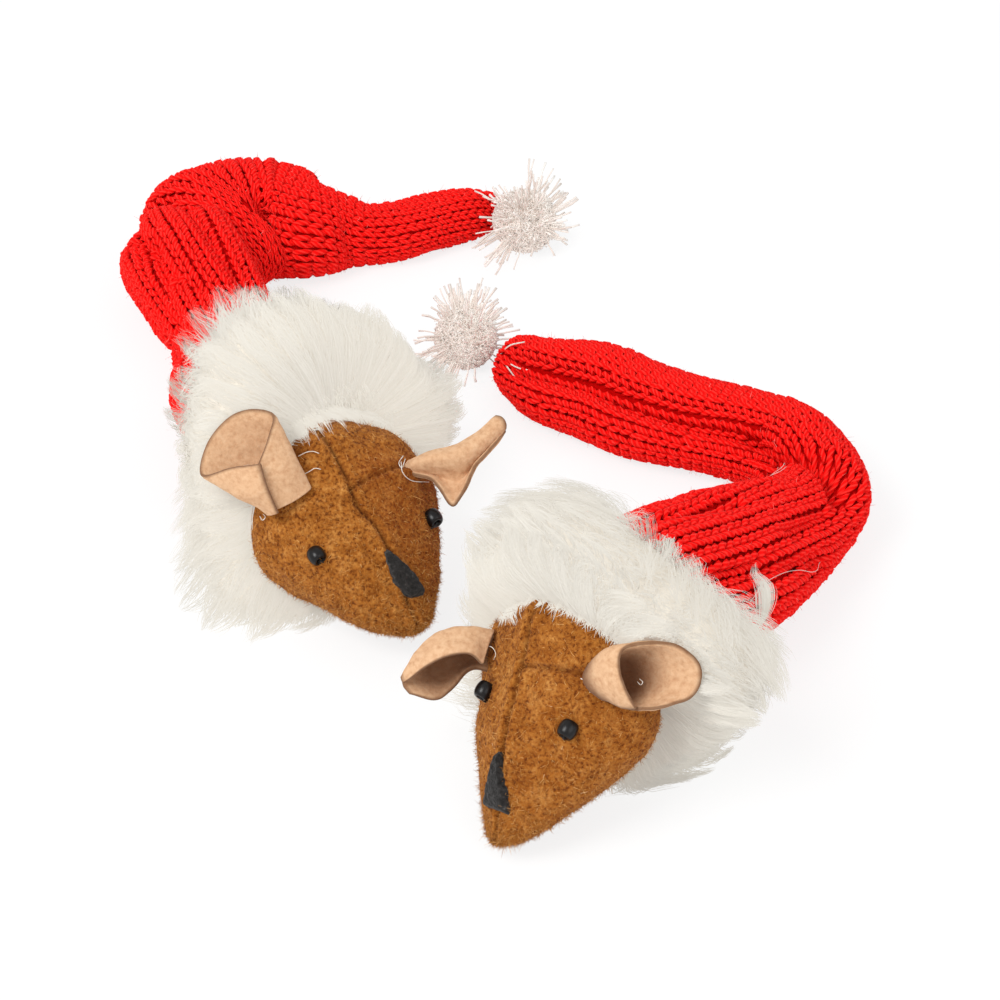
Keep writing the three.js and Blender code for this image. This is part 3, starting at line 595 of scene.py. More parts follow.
def pompom_ground_material():
    shade = Shade("pompom_ground", 0.9, specular=0.05)
    shade.paint(shade.ramp(shade.noise(1100, 2), (0.22, colour(150, 70, 60)),
                           (0.32, colour(222, 206, 196)), (0.6, colour(234, 224, 215))))
    return shade.material


def bead_material():
    shade = Shade("black_bead", 0.3, specular=0.3)
    shade.paint(shade.ramp(shade.noise(600, 2), (0.3, colour(8, 7, 8)), (0.8, colour(24, 20, 20))))
    shade.bump(shade.noise(900, 2), 0.08, 0.0002)
    return shade.material


def nose_material():
    shade = Shade("charcoal_wool", 0.95, sheen=0.15, specular=0.1)
    fine = shade.noise(1500, 4, 0.65)
    shade.paint(shade.ramp(fine, (0.3, colour(20, 18, 17)), (0.6, colour(48, 46, 45)),
                           (0.85, colour(104, 102, 100))))
    shade.bump(fine, 0.8, 0.0005)
    return shade.material


def thread_material(name, dark, light):
    shade = Shade(name, 0.6, sheen=0.2, specular=0.3)
    shade.paint(shade.ramp(shade.noise(2200, 2), (0.3, dark), (0.7, light)))
    shade.bump(shade.noise(2600, 2), 0.5, 0.0002)
    return shade.material


FELT = felt_material()
FELT_FIBRE = felt_fibre_material()
SUEDE = suede_material()
KNIT = knit_material()
RED_LINER_SHADE = shaded_liner_material()
RED_FIBRE = red_fibre_material()
FUR = fur_material()
FUR_GROUND = fur_ground_material()
POMPOM = pompom_material()
POMPOM_GROUND = pompom_ground_material()
BEAD = bead_material()
NOSE = nose_material()
WHITE_THREAD = thread_material("white_thread", colour(206, 196, 182), colour(244, 240, 232))
BLACK_THREAD = thread_material("black_thread", colour(6, 6, 7), colour(30, 28, 28))


# Head

TOP_AT = smooth_through(STATION_SHARES, TOP_SHARES)
BOTTOM_AT = smooth_through(STATION_SHARES, BOTTOM_SHARES)
WIDTH_AT = smooth_through(STATION_SHARES, WIDTH_SHARES)


def head_section(share, grow=0.0):
    """Place along the head, middle height, half height and half width at a share of its length."""
    top = TOP_AT(share) * HEAD_HEIGHT + grow
    bottom = BOTTOM_AT(share) * HEAD_HEIGHT - grow
    x = HEAD_BACK - grow + share * (HEAD_LENGTH + 2 * grow)
    return x, (top + bottom) / 2, (top - bottom) / 2, WIDTH_AT(share) * HEAD_HALF_WIDTH + grow


def head_point(share, angle, grow=0.0):
    x, middle, half_height, half_width = head_section(share, grow)
    y, z = half_width * np.cos(angle), middle + half_height * np.sin(angle)
    return np.stack(np.broadcast_arrays(x, y, z), -1)


def head_side(place, side):
    """The place on the head's side at shares of its length and height, and the way out of it."""
    x, middle, half_height, half_width = head_section(place[0])
    height = place[1] * HEAD_HEIGHT
    sine = min(max((height - middle) / half_height, -1), 1)
    cosine = math.sqrt(1 - sine * sine)
    point = np.array([x, side * half_width * cosine, height], float)
    return point, unit(np.array([0, side * cosine / half_width, sine / half_height]))


def distance_to_line(points, line):
    """From each point to the nearest of a close row of points."""
    nearest = np.full(points.shape[:-1], np.inf)
    for there in line:
        nearest = np.minimum(nearest, np.linalg.norm(points - there, axis=-1))
    return nearest


class Mouse:
    """One mouse: its own axes, its body's name and the surfaces that its pieces share."""

    def __init__(self, data, index):
        self.data = data
        self.name = data["name"]
        self.seed = 100 * (index + 1)
        self.body = f"{self.name}_body"
        hinge = next(j for j in frame["joints"] if j["name"] == f"{self.name}_hat_tail_lift")
        self.hinge = np.array(hinge["pos_m"]) / MM
        x, y, lift, _, half_height = data["tail"][0]
        start = place_of([x, y, lift + half_height]) - [0, 0, GROUND_SINK]
        self.spot = (self.hinge - start) * [1, 1, 0]
        self.head_turn = mouse_turn(*data["head_turn"])
        self.head_place = np.array([0, 0, data["head_lift_share"] * HEAD_HEIGHT]) + self.spot
        self.ruff_turn = mouse_turn(*data["ruff_turn"])
        self.ruff_reach = round_table(data["ruff_reach"])
        self.ruff_front = round_table(data["ruff_front"])
        self.ruff_splay = round_table(data["ruff_splay"])
        self.ruff_place = place_of(data["ruff_place"]) + self.spot

    def from_head(self, points):
        return points @ self.head_turn.T + self.head_place

    def to_head(self, points):
        return (points - self.head_place) @ self.head_turn

    def out_of_head(self, points, gap):
        """Points inside the head's surface, moved out to a gap over it."""
        local = self.to_head(points)
        share = np.clip((local[..., 0] - HEAD_BACK) / HEAD_LENGTH, 0, 1)
        _, middle, half_height, half_width = head_section(share, gap)
        y, z = local[..., 1] / half_width, (local[..., 2] - middle) / half_height
        depth = np.sqrt(y * y + z * z)
        reach = HEAD_BACK + HEAD_LENGTH
        inside = (depth < 1) & (local[..., 0] > HEAD_BACK) & (local[..., 0] < reach)
        scale = np.where(inside, 1 / np.maximum(depth, 0.05), 1)
        moved = np.stack([local[..., 0], y * scale * half_width, middle + z * scale * half_height], -1)
        return self.from_head(moved)


# How high each kind of piece lies where it would go below the ground.
HEAD_LIFT = 0.05
FUZZ_LIFT = 0.1
CORE_LIFT = 0.1
FUR_LIFT = 0.15
THREAD_LIFT = 0.2
YARN_LIFT = 0.62
INNER_LIFT = 0.95


def flatten_on_ground(points, lift):
    """Points that would go below the ground lie on it instead."""
    height = points[..., 2]
    points[..., 2] = np.where(height < lift, lift + 0.02 * np.abs(height), height)
    return points


# What sewing leaves on the felt, as a rise or depth and a width: the grooves of the crown's seam and of the
# dart, the lips beside them, and the shade painted dark along the grooves' bottoms.
SEAM_GROOVE = (0.85, 0.42)
DART_GROOVE = (0.7, 0.45)
SEAM_LIP = (0.35, 0.7)
DART_LIP = (0.3, 0.7)
LIP_PLACE = 1.2
SEAM_GROOVE_SHADE = (1, 0.3)
DART_GROOVE_SHADE = (0.8, 0.32)
SEAM_WANDER = 0.9
SEAM_WANDER_SIZE = 6.5

# The felt's lumps and its boiled bumps: rise, size and seed of each.
FELT_LUMPS = [(0.55, 8, 2), (0.28, 3.4, 3)]
FELT_BUMPS = [(0.14, 1.3, 4), (0.08, 0.6, 5)]


def ridge(gap, rise_and_width, place=0.0):
    rise, width = rise_and_width
    return rise * np.exp(-(((gap - place) / width) ** 2))


def relief(points, seed, lumps):
    return sum(rise * noise(points, size, seed + step) for rise, size, step in lumps)


def dart_line(mouse):
    """The dart on the head's surface, from the crown's seam to the left ear's foot."""
    foot_share, foot_height = mouse.data["ears"]["left"]
    foot, _ = head_side((foot_share, foot_height), 1)
    seam_start = head_point(foot_share + 0.05, math.pi / 2)
    row = lerp(seam_start, foot, np.linspace(0, 1, 24)[:, None])
    x_share = (row[:, 0] - HEAD_BACK) / HEAD_LENGTH
    _, middle, half_height, half_width = head_section(x_share)
    row_angle = np.arctan2((row[:, 2] - middle) / half_height, row[:, 1] / half_width)
    return head_point(x_share, row_angle)


def head_surface(mouse, rows, columns):
    """The head's felt, with its seams, dart and boiled bumps, as a grid, its ways out and the shade painted
    along its grooves.
    """
    seed = mouse.seed
    share = 1 - (1 - np.linspace(0, 1, rows)[:, None]) ** 1.25
    angle = np.linspace(0, TAU, columns, endpoint=False)[None, :]
    grid = head_point(share, angle)
    flat_normals = grid_normals(grid)
    out = np.sign((flat_normals * (grid - grid.mean((0, 1)))).sum(-1).mean())
    normals = flat_normals * out
    along = grid[..., :1] * [1.0, 0, 0]
    wander = SEAM_WANDER * noise(along, SEAM_WANDER_SIZE, seed + 1)
    from_seam = np.abs(grid[..., 1] - wander)
    from_dart = distance_to_line(grid, dart_line(mouse))
    fade = smooth_step(0.02, 0.2, share) * (1 - 0.6 * smooth_step(0.86, 0.97, share))
    groove = ridge(from_seam, SEAM_GROOVE) * fade + ridge(from_dart, DART_GROOVE)
    lips = ridge(from_seam, SEAM_LIP, LIP_PLACE) * fade + ridge(from_dart, DART_LIP, LIP_PLACE)
    lumps = relief(grid, seed, FELT_LUMPS) * smooth_step(0.0, 0.15, 1 - share)
    height = lips - groove + lumps + relief(grid, seed, FELT_BUMPS)
    crease = ridge(from_seam, SEAM_GROOVE_SHADE) * fade + ridge(from_dart, DART_GROOVE_SHADE)
    return grid + normals * height[..., None], normals, np.clip(crease, 0, 1)


def add_head(mouse):
    rows, columns = (150, 220) if FULL else (90, 130)
    grid, normals, crease = head_surface(mouse, rows, columns)
    # Painted shade: the front of the head's left side, turned from the key lamp, is painted darker and
    # redder.
    left = smooth_step(-1, 5, grid[..., 1]) * smooth_step(8, 16, grid[..., 0])
    left_side_shade = 0.3 * left * (1 if mouse.name == "mouse_one" else 0.35)
    world = flatten_on_ground(mouse.from_head(grid), HEAD_LIFT)
    mouse.head_world = world
    points, faces = closed_tube(world)
    ends = [0, 0]
    attributes = {"crease": [*crease.ravel(), *ends], "left_side_shade": [*left_side_shade.ravel(), *ends]}
    head = make_piece(f"{mouse.name}_head", points, faces, FELT, attributes)
    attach(head, mouse.body)
    names = ("head_panel_right", "head_panel_left", "head_back_panel", "head_stuffing")
    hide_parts(*[f"{mouse.name}_{part}" for part in names])
    add_head_fuzz(mouse, grid, normals)


FUZZ_COUNT = 15000 if FULL else 5000


def add_head_fuzz(mouse, grid, normals):
    """Short felted fibres that stand off the wool, some of them longer."""
    random = np.random.default_rng(mouse.seed + 11)
    count = FUZZ_COUNT
    rows, columns = grid.shape[:2]
    i = random.integers(int(0.12 * rows), rows - 2, count)
    j = random.integers(0, columns, count)
    root, normal = grid[i, j], normals[i, j]
    lean = unit(random.normal(size=(count, 3)))
    lean -= normal * (lean * normal).sum(-1, keepdims=True)
    length = random.uniform(0.35, 1.0, count)[:, None] * (1 + 0.8 * (random.random(count)[:, None] > 0.95))
    steps = np.linspace(0, 1, 4)[:, None]
    way = normal * random.uniform(0.25, 0.9, count)[:, None] + lean
    lines = root[:, None] + way[:, None] * steps * length[:, None]
    lines += 0.35 * length[:, None] * (steps ** 2) * unit(random.normal(size=(count, 3)))[:, None]
    world = flatten_on_ground(mouse.from_head(lines), FUZZ_LIFT)
    facing = unit(normal + 0.8 * random.normal(size=(count, 3))) @ mouse.head_turn.T
    tone = np.clip(random.beta(2, 2.5, count), 0, 1)
    widths = random.uniform(0.05, 0.1, count)
    fuzz = ribbons(f"{mouse.name}_head_fuzz", world, widths, facing, FELT_FIBRE, tone, [1, 0.9, 0.7, 0.2])
    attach(fuzz, mouse.body)


# Eyes and nose

BEAD_RING = 24
BEAD_ROUND = 40
EYE_THREAD_RADIUS = 0.12
EYE_THREAD_POINTS = 19

# The eye's thread through its bead: steps along the hole and out of the head, from the bead's middle.
EYE_THREAD_PLACES = [
    (-1.1, -2.4), (-1.55, -1.1), (-1.35, -0.1), (0, 0), (1.35, -0.1), (1.55, -1.1), (1.1, -2.4),
]


def add_eyes(mouse):
    for word, side in (("right", -1), ("left", 1)):
        point, outward = head_side(mouse.data["eyes"][word], side)
        middle = point + outward * BEAD_PROUD
        along = unit(np.array([1.0, 0, 0]) - outward * outward[0])
        across = np.cross(along, outward)
        add_bead(mouse, word, middle, along, across, outward)
        add_eye_thread(mouse, word, middle, along, across, outward)


def add_bead(mouse, word, middle, along, across, outward):
    """A glossy black bead round its hole."""
    wall = (BEAD_RADIUS - BEAD_HOLE_RADIUS) / 2
    turn = TAU * np.arange(BEAD_RING) / BEAD_RING
    radius = (BEAD_RADIUS + BEAD_HOLE_RADIUS) / 2 + wall * np.cos(turn)
    height = BEAD_LENGTH / 2 * np.sin(turn)
    angle = TAU * np.arange(BEAD_ROUND + 1) / BEAD_ROUND
    local = radius[None, :, None] * (
        np.cos(angle)[:, None, None] * across + np.sin(angle)[:, None, None] * outward
    ) + height[None, :, None] * along
    grid = mouse.from_head(local + middle)[:-1]
    faces = grid_faces(BEAD_ROUND + 1, BEAD_RING) % (BEAD_ROUND * BEAD_RING)
    name = f"{mouse.name}_eye_bead_{word}"
    bead = make_piece(f"{name}_glossy", grid.reshape(-1, 3), [faces], BEAD)
    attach(bead, mouse.body)
    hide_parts(name)


def add_eye_thread(mouse, word, middle, along, across, outward):
    places = [middle + along * a + outward * b for a, b in EYE_THREAD_PLACES]
    line = through(places, EYE_THREAD_POINTS)[None]
    normals = np.broadcast_to(across, line.shape) @ mouse.head_turn.T
    name = f"{mouse.name}_eye_thread_{word}_strand"
    thread = thread_piece(name, mouse.from_head(line), normals, EYE_THREAD_RADIUS, 8, BLACK_THREAD)
    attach(thread, mouse.body)
    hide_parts(f"{mouse.name}_eye_thread_{word}")


def add_nose(mouse):
    """The patch of charcoal wool over the muzzle's ridge, with a soft edge."""
    rows, columns = 56, 30
    down = np.linspace(0, 1, rows)[:, None]
    across = np.linspace(-1, 1, columns)[None, :]
    shares = mouse.data["nose_shares"]
    width = smooth_through(np.linspace(0, 1, len(shares)), shares)(down)
    share = lerp(NOSE_START_SHARE, NOSE_END_SHARE, down)
    half_width = head_section(share)[3]
    ragged = 1 + 0.16 * noise(np.dstack([down * 40 + 0 * across, across + 0 * down, 0 * down * across]), 3, 7)
    lean = mouse.data["nose_lean"] * down ** 1.3
    angle = math.pi / 2 + (across * width * NOSE_HALF_WIDTH * ragged - lean) / half_width
    edge = np.minimum(1 - np.abs(across), 3 * np.minimum(down, 1 - down))
    rise = 0.15 + NOSE_THICKNESS * smooth_step(-0.02, 0.3, edge)
    outer = head_point(share, angle, rise)
    outer += 0.12 * noise(outer, 0.8, mouse.seed + 20)[..., None] * [0, 0, 1]
    inner = head_point(share, angle, -0.4)
    points, faces = closed_sheet(mouse.from_head(outer), mouse.from_head(inner))
    patch = make_piece(f"{mouse.name}_nose_wool", points, faces, NOSE)
    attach(patch, mouse.body)
    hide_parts(f"{mouse.name}_nose_patch")


# Ears

# Each ear is a leaf of suede, sewn on by its foot and curled. Its rows of places run from the foot to
# the rim, and each row goes round the leaf from one long edge to the other. A place is told by steps
# to the right and up, as seen in the camera's view from the ear's foot, and millimetres nearer.
EAR_PLACES = {
    "mouse_one_ear_right": {
        "step": 0.182,
        "rows": [
            [(-10, -10, 1.5), (10, 0, 1), (24, 11, 0), (14, 14, -1), (4, 10, -1), (-6, 4, -1),
             (-15, -6, -0.5), (-17, -14, 0.5), (-6, -13, 2.4)],
            [(-20, 12, 3.6), (-1, 30, 3), (8, 47, 1), (-10, 54, -2), (-28, 48, -3), (-43, 33, -2.4),
             (-50, 8, 0.8), (-36, 6, 3.4), (-15, 13, 4.9)],
            [(-24, 36, 4.5), (-15, 61, 3.6), (-12, 85, 1.4), (-34, 91, -1), (-58, 83, -2), (-79, 57, -1.4),
             (-83, 25, 1.6), (-52, 32, 4.4), (-21, 36, 6.0)],
        ],
    },
    "mouse_one_ear_left": {
        "step": 0.186,
        "rows": [
            [(-11, -3, 0.5), (-12, -6, 1.2), (-11, -9, 1.2), (-9, -12, 0.6), (-8, -13, 1.5)],
            [(11, 7, 1), (15, 2, 3), (17, -5, 2.6), (17, -15, 0.4), (18, -22, 2.6)],
            [(36, 13, 1), (40, 7, 3), (44, -2, 3), (42, -22, 0.6), (38, -46, 4.6)],
            [(58, 26, 0.5), (64, 21, 2.4), (68, 14, 2.2), (64, 2, 1), (60, -6, 3)],
            [(80, 44, 0.5), (86, 42, 1.4), (89, 37, 1.4), (89, 30, 1), (86, 26, 1.4)],
        ],
    },
    "mouse_two_ear_right": {
        "step": 0.171,
        "rows": [
            [(-3, -6, 2), (2, 7, 1.5), (10, 25, 0), (9, 17, -2), (5, 2, -2.5), (6, -15, -1)],
            [(-17, 5, 4), (-17, 16, 3), (-23, 29, 0.5), (-21, 15, -2.5), (-19, -7, -3), (-15, -14, -1.5)],
            [(-47, -2, 4), (-51, 8, 3), (-55, 17, 0.5), (-54, 1, -2), (-48, -21, -2.5), (-44, -42, -0.5)],
            [(-80, -25, 1.4), (-82, -23, 1), (-83, -20, 0.5), (-82, -24, -0.2), (-80, -30, 0),
             (-74, -36, 0.4)],
        ],
    },
    "mouse_two_ear_left": {
        "step": 0.164,
        "rows": [
            [(20, -27, 0.6), (4, -16, 0.8), (-2, -5, 0.8), (6, 8, 0.3), (18, 8, 0), (26, 4, -0.8),
             (30, -2, -1.2), (32, -8, -1.2), (32, -14, -1), (30, -20, -0.4), (26, -26, 0.2)],
            [(36, -33, 4.5), (21, -14, 5), (14, 6, 5), (21, 24, 4.5), (42, 26, 3), (58, 22, 2.6),
             (69, 11, 2.6), (73, -2, 2.8), (69, -18, 3), (54, -28, 3.2), (40, -34, 3.8)],
            [(47, -33, 6), (36, -10, 7.4), (30, 12, 7.4), (36, 28, 6.4), (60, 33, 6.2), (86, 31, 6.6),
             (105, 18, 7), (111, 2, 7.2), (103, -19, 7), (78, -29, 6.6), (54, -33, 6.2)],
        ],
    },
}
# How near a place in each ear is where the shade painted in its hollow starts and where it is darkest, and
# how dark it gets.
EAR_HOLLOW_SHADES = {
    "mouse_one_ear_right": (-1, -5, 0.06),
    "mouse_one_ear_left": (-1, -5, 0.25),
    "mouse_two_ear_right": (1, -2.5, 0.8),
    "mouse_two_ear_left": (4.6, 0.6, 0.85),
}
ELEVATION = math.radians(40)
VIEW_AXES = np.array([
    [1, 0, 0],
    [0, math.sin(ELEVATION), math.cos(ELEVATION)],
    [0, -math.cos(ELEVATION), math.sin(ELEVATION)],
])


def ear_foot(mouse, word, side):
    point, outward = head_side(mouse.data["ears"][word], side)
    return mouse.from_head(point + outward * SUEDE_THICKNESS)


def from_view(places, foot, step):
    return foot + (np.asarray(places, float) * [step, step, 1]) @ VIEW_AXES


EAR_ROWS, EAR_COLUMNS = 50, 90
RIM_EDGE = (0.7, 0.22)


def ear_sheet(mouse, word, side):
    """An ear's middle surface: its places in the view, its points and its ways out."""
    name = f"{mouse.name}_ear_{word}"
    cage = np.array(EAR_PLACES[name]["rows"], float)
    places = through(through(cage, EAR_ROWS).swapaxes(0, 1), EAR_COLUMNS).swapaxes(0, 1)
    middle = from_view(places, ear_foot(mouse, word, side), EAR_PLACES[name]["step"])
    normals = grid_normals(middle, closed=False)
    wave = relief(middle, mouse.seed, [(0.22, 4, 30 + side), (0.12, 1.8, 33)])
    return places, middle + normals * wave[..., None], normals


def ear_colours(name, places, normals, rim):
    """How dark each side of an ear is painted at its cut edge, and the shade painted in its hollow on the
    side that faces the camera.
    """
    edge = np.tile(ridge(rim, RIM_EDGE).ravel(), 2)
    shallow, deepest, dark = EAR_HOLLOW_SHADES[name]
    hollow_shade = (smooth_step(shallow, deepest, places[..., 2]) * dark).ravel()
    seen = (normals @ VIEW_AXES[2]).ravel() > 0
    return {"edge": edge, "inside": np.concatenate([hollow_shade * seen, hollow_shade * ~seen])}


def add_ears(mouse):
    mouse.ear_places = []
    for word, side in (("right", -1), ("left", 1)):
        name = f"{mouse.name}_ear_{word}"
        places, middle, normals = ear_sheet(mouse, word, side)
        across = np.linspace(-1, 1, EAR_COLUMNS)[None, :]
        along = np.linspace(0, 1, EAR_ROWS)[:, None]
        rim = np.minimum(8 * (1 - np.abs(across)) + 0 * along, 8 * (1 - along) + 0 * across)
        half = 0.5 * LEAF_THICKNESS * np.sqrt(0.2 + 0.8 * smooth_step(0, 0.5, rim))
        half = half + relief(middle, mouse.seed, [(0.04, 0.6, 40)])
        out = normals * half[..., None]
        points, faces = closed_sheet(middle + out, middle - out)
        leaf = make_piece(f"{name}_suede", points, faces, SUEDE, ear_colours(name, places, normals, rim))
        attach(leaf, f"{mouse.name}_{word}_ear")
        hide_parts(name)
        mouse.ear_places.append(middle[::3, ::3].reshape(-1, 3))


def closed_sheet(front, back):
    """A sheet's two faces, as grids, joined round their border."""
    rows, columns = front.shape[:2]
    layer = rows * columns
    sheet = grid_faces(rows, columns, closed=False)
    border = np.concatenate([
        np.arange(columns), np.arange(1, rows) * columns + columns - 1,
        (rows - 1) * columns + np.arange(columns - 2, -1, -1), np.arange(rows - 2, 0, -1) * columns,
    ])
    after = np.roll(border, -1)
    wall = np.stack([border, border + layer, after + layer, after], -1)
    points = np.concatenate([front.reshape(-1, 3), back.reshape(-1, 3)])
    return points, [sheet, sheet[:, ::-1] + layer, wall]


# Threads at the ears' feet: ends and loops of white thread, told as the ears are. A place without a
# third number lies on the head's wool.
EAR_THREADS = {
    "mouse_one_ear_right": [
        [(12, 44), (20, 48), (27, 49), (33, 47)], [(18, 26), (24, 29), (29, 32), (35, 31)],
        [(-27, -16), (-24, -20), (-21, -17), (-23, -14)],
    ],
    "mouse_one_ear_left": [
        [(-15, -2), (-13, -13), (-4, -21), (12, -22)], [(-11, 1), (-14, -8), (-17, -3), (-13, 4)],
    ],
    "mouse_two_ear_right": [[(4, 12, 1), (9, 10, 1.6), (12, 4, 1.6), (10, -2, 1)]],
    "mouse_two_ear_left": [
        [(50, -8, 2.2), (53, -11, 2.6), (55, -8, 2.8), (52, -5, 2.4)],
        [(-6, -6), (0, -9), (5, -14), (3, -20)],
    ],
}
EAR_THREAD_RADIUS = 0.07


EAR_THREAD_POINTS = 14
OVER_WOOL = 0.35


def thread_place(view, place, foot, step):
    """A place of an ear's thread, laid on the head's wool where it has no third number."""
    if len(place) == 3:
        return from_view(place, foot, step)
    there = from_view((*place, 0), foot, step) @ VIEW_AXES.T
    apart = np.hypot(*(view[:, :2] - there[:2]).T)
    near = np.where(apart < apart.min() + 0.6, view[:, 2], -np.inf)
    there[2] = view[near.argmax(), 2] + OVER_WOOL
    return there @ VIEW_AXES


def add_ear_threads(mouse):
    view = mouse.head_world.reshape(-1, 3) @ VIEW_AXES.T
    for word, side in (("right", -1), ("left", 1)):
        name = f"{mouse.name}_ear_{word}"
        foot, step = ear_foot(mouse, word, side), EAR_PLACES[name]["step"]
        lines = np.array([
            through([thread_place(view, place, foot, step) for place in line], EAR_THREAD_POINTS)
            for line in EAR_THREADS[name]
        ])
        normals = np.broadcast_to(VIEW_AXES[2], lines.shape)
        thread = thread_piece(f"{name}_thread", lines, normals, EAR_THREAD_RADIUS, 6, WHITE_THREAD)
        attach(thread, f"{mouse.name}_{word}_ear")
        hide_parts(f"{mouse.name}_ear_stitch_{word}")


# Hat

class Tube:
    """A knitted tube along stations on the ground: t runs along it in stations, and s is the
    distance round it from its crest. Folds are grooves and rolls: each runs from one t and s to
    another, with a width and a rise."""

    def __init__(self, mouse, stations, folds=(), slack=1.0):
        self.mouse, self.folds = mouse, folds
        places = np.arange(len(stations))
        columns = [smooth_through(places, [row[k] * HAT_LENGTH for row in stations]) for k in range(5)]
        self.x, self.y, self.lift, self.half_width, self.half_height = columns
        self.last, self.slack = len(stations) - 1, slack
        self.rows = np.linspace(0, self.last, 40 * self.last + 1)
        self.angles = np.linspace(-math.pi, math.pi, 121)
        ring = self.section(self.rows[:, None], self.angles[None, :])
        lengths = np.linalg.norm(np.diff(ring, axis=1), axis=-1)
        arcs = np.concatenate([np.zeros((len(self.rows), 1)), np.cumsum(lengths, 1)], 1)
        self.arcs = arcs - arcs[:, 60:61]
        middle = self.middle(self.rows)
        steps = np.linalg.norm(np.diff(middle, axis=0), axis=-1)
        self.reach = np.concatenate([[0], np.cumsum(steps)])

    def middle(self, t):
        height = self.lift(t) + self.half_height(t) - GROUND_SINK
        return np.stack([self.x(t), self.y(t), height], -1) + self.mouse.spot

    def side(self, t):
        nudge = 0.02
        ahead, behind = np.minimum(t + nudge, self.last), np.maximum(t - nudge, 0)
        way = unit((self.middle(ahead) - self.middle(behind)) * [1, 1, 0])
        return np.stack([-way[..., 1], way[..., 0], 0 * way[..., 0]], -1)

    def section(self, t, angle):
        """The bare surface: angle 0 is the crest, and a positive angle is on the left."""
        t, angle = np.broadcast_arrays(t, angle)
        across = self.half_width(t) * self.slack * np.sin(angle)
        up = self.half_height(t) * self.slack * np.cos(angle)
        return self.middle(t) + self.side(t) * across[..., None] + up[..., None] * [0, 0, 1.0]

    def table_rows(self, t):
        place = np.clip(t / self.last, 0, 1) * (len(self.rows) - 1)
        low = np.minimum(place.astype(int), len(self.rows) - 2)
        part = (place - low)[..., None]
        return self.arcs[low] * (1 - part) + self.arcs[low + 1] * part

    def angle_at(self, t, s):
        t, s = np.broadcast_arrays(t, s)
        table = self.table_rows(t)
        low = np.clip((table < s[..., None]).sum(-1) - 1, 0, len(self.angles) - 2)
        a = np.take_along_axis(table, low[..., None], -1)[..., 0]
        b = np.take_along_axis(table, low[..., None] + 1, -1)[..., 0]
        part = np.clip((s - a) / (b - a), 0, 1)
        return lerp(self.angles[low], self.angles[low + 1], part)

    def half_round(self, t):
        return self.table_rows(np.asarray(t, float))[..., -1]

    def t_at(self, reach):
        return np.interp(reach, self.reach, self.rows)

    def surface(self, t, angle, grow=0.0):
        """The surface with its folds and lumps, grown by a thickness."""
        bare = self.section(t, angle)
        step = 0.03
        around = self.section(t, angle + step) - self.section(t, angle - step)
        ahead, behind = np.minimum(t + step, self.last), np.maximum(t - step, 0)
        normals = unit(np.cross(self.section(ahead, angle) - self.section(behind, angle), around))
        up = np.sin(angle)[..., None] * self.side(np.broadcast_to(t, angle.shape))
        normals *= np.sign((normals * (up + np.cos(angle)[..., None] * [0, 0, 1.0])).sum(-1))[..., None]
        rise = grow + 0.7 * noise(bare, 14, self.mouse.seed + 50)
        table = self.table_rows(np.broadcast_to(t, angle.shape))
        place = (angle + math.pi) / TAU * (len(self.angles) - 1)
        low = np.clip(place.astype(int), 0, len(self.angles) - 2)
        a = np.take_along_axis(table, low[..., None], -1)[..., 0]
        b = np.take_along_axis(table, low[..., None] + 1, -1)[..., 0]
        s = lerp(a, b, place - low)
        here = np.stack([np.interp(np.broadcast_to(t, s.shape), self.rows, self.reach), s], -1)
        for start_t, start_s, end_t, end_s, width, fold_rise in self.folds:
            ends = np.interp([start_t, end_t], self.rows, self.reach)
            start = np.array([ends[0], start_s])
            way = np.array([ends[1], end_s]) - start
            part = np.clip((here - start) @ way / (way @ way), 0, 1)
            gap = np.linalg.norm(here - start - part[..., None] * way, axis=-1)
            rise = rise + fold_rise * np.exp(-((gap / width) ** 2))
        return bare + normals * np.asarray(rise)[..., None], normals


LEG_STEPS = np.array([0.0, 0.3, 0.65, 1.0])
LEG_SIDES = 5
LEG_RISE = 1.35  # length of a stitch's leg, in courses
LEG_OUT = np.array([0.05, 0.18, 0.29, 0.32])  # its way to the side, in wales
LEG_LIFT = np.array([-0.3, 0.8, 0.85, -0.35])  # its way out of the fabric, in yarn radii
LEG_GIRTH = np.array([0.55, 1.0, 1.0, 0.5])


GIRTH = 0.235  # a yarn's radius, in wales
THINNEST, THICKEST = 0.26, 0.68
NARROWEST_WALE = 0.45


def stitch_legs(tube, places, wale, course):
    """The two legs of each stitch of plain wales along a tube: lines, normals and yarn radii.
    Places are the starts of the courses along the tube."""
    widest = tube.half_round(tube.rows).max()
    count = int(widest / wale) + 2
    wales = np.arange(-count, count + 1) + 0.5
    found = []
    for hand in (-1, 1):
        reach = places[:, None, None] + LEG_STEPS * LEG_RISE * course
        t = tube.t_at(reach) + 0 * wales[None, :, None]
        width = wale * (tube.half_round(t) / widest) ** 0.5
        s = (wales[None, :, None] + hand * LEG_OUT) * width
        found.append(legs_on(tube, t, s, width[..., 1]))
    return [np.concatenate(parts) for parts in zip(*found)]


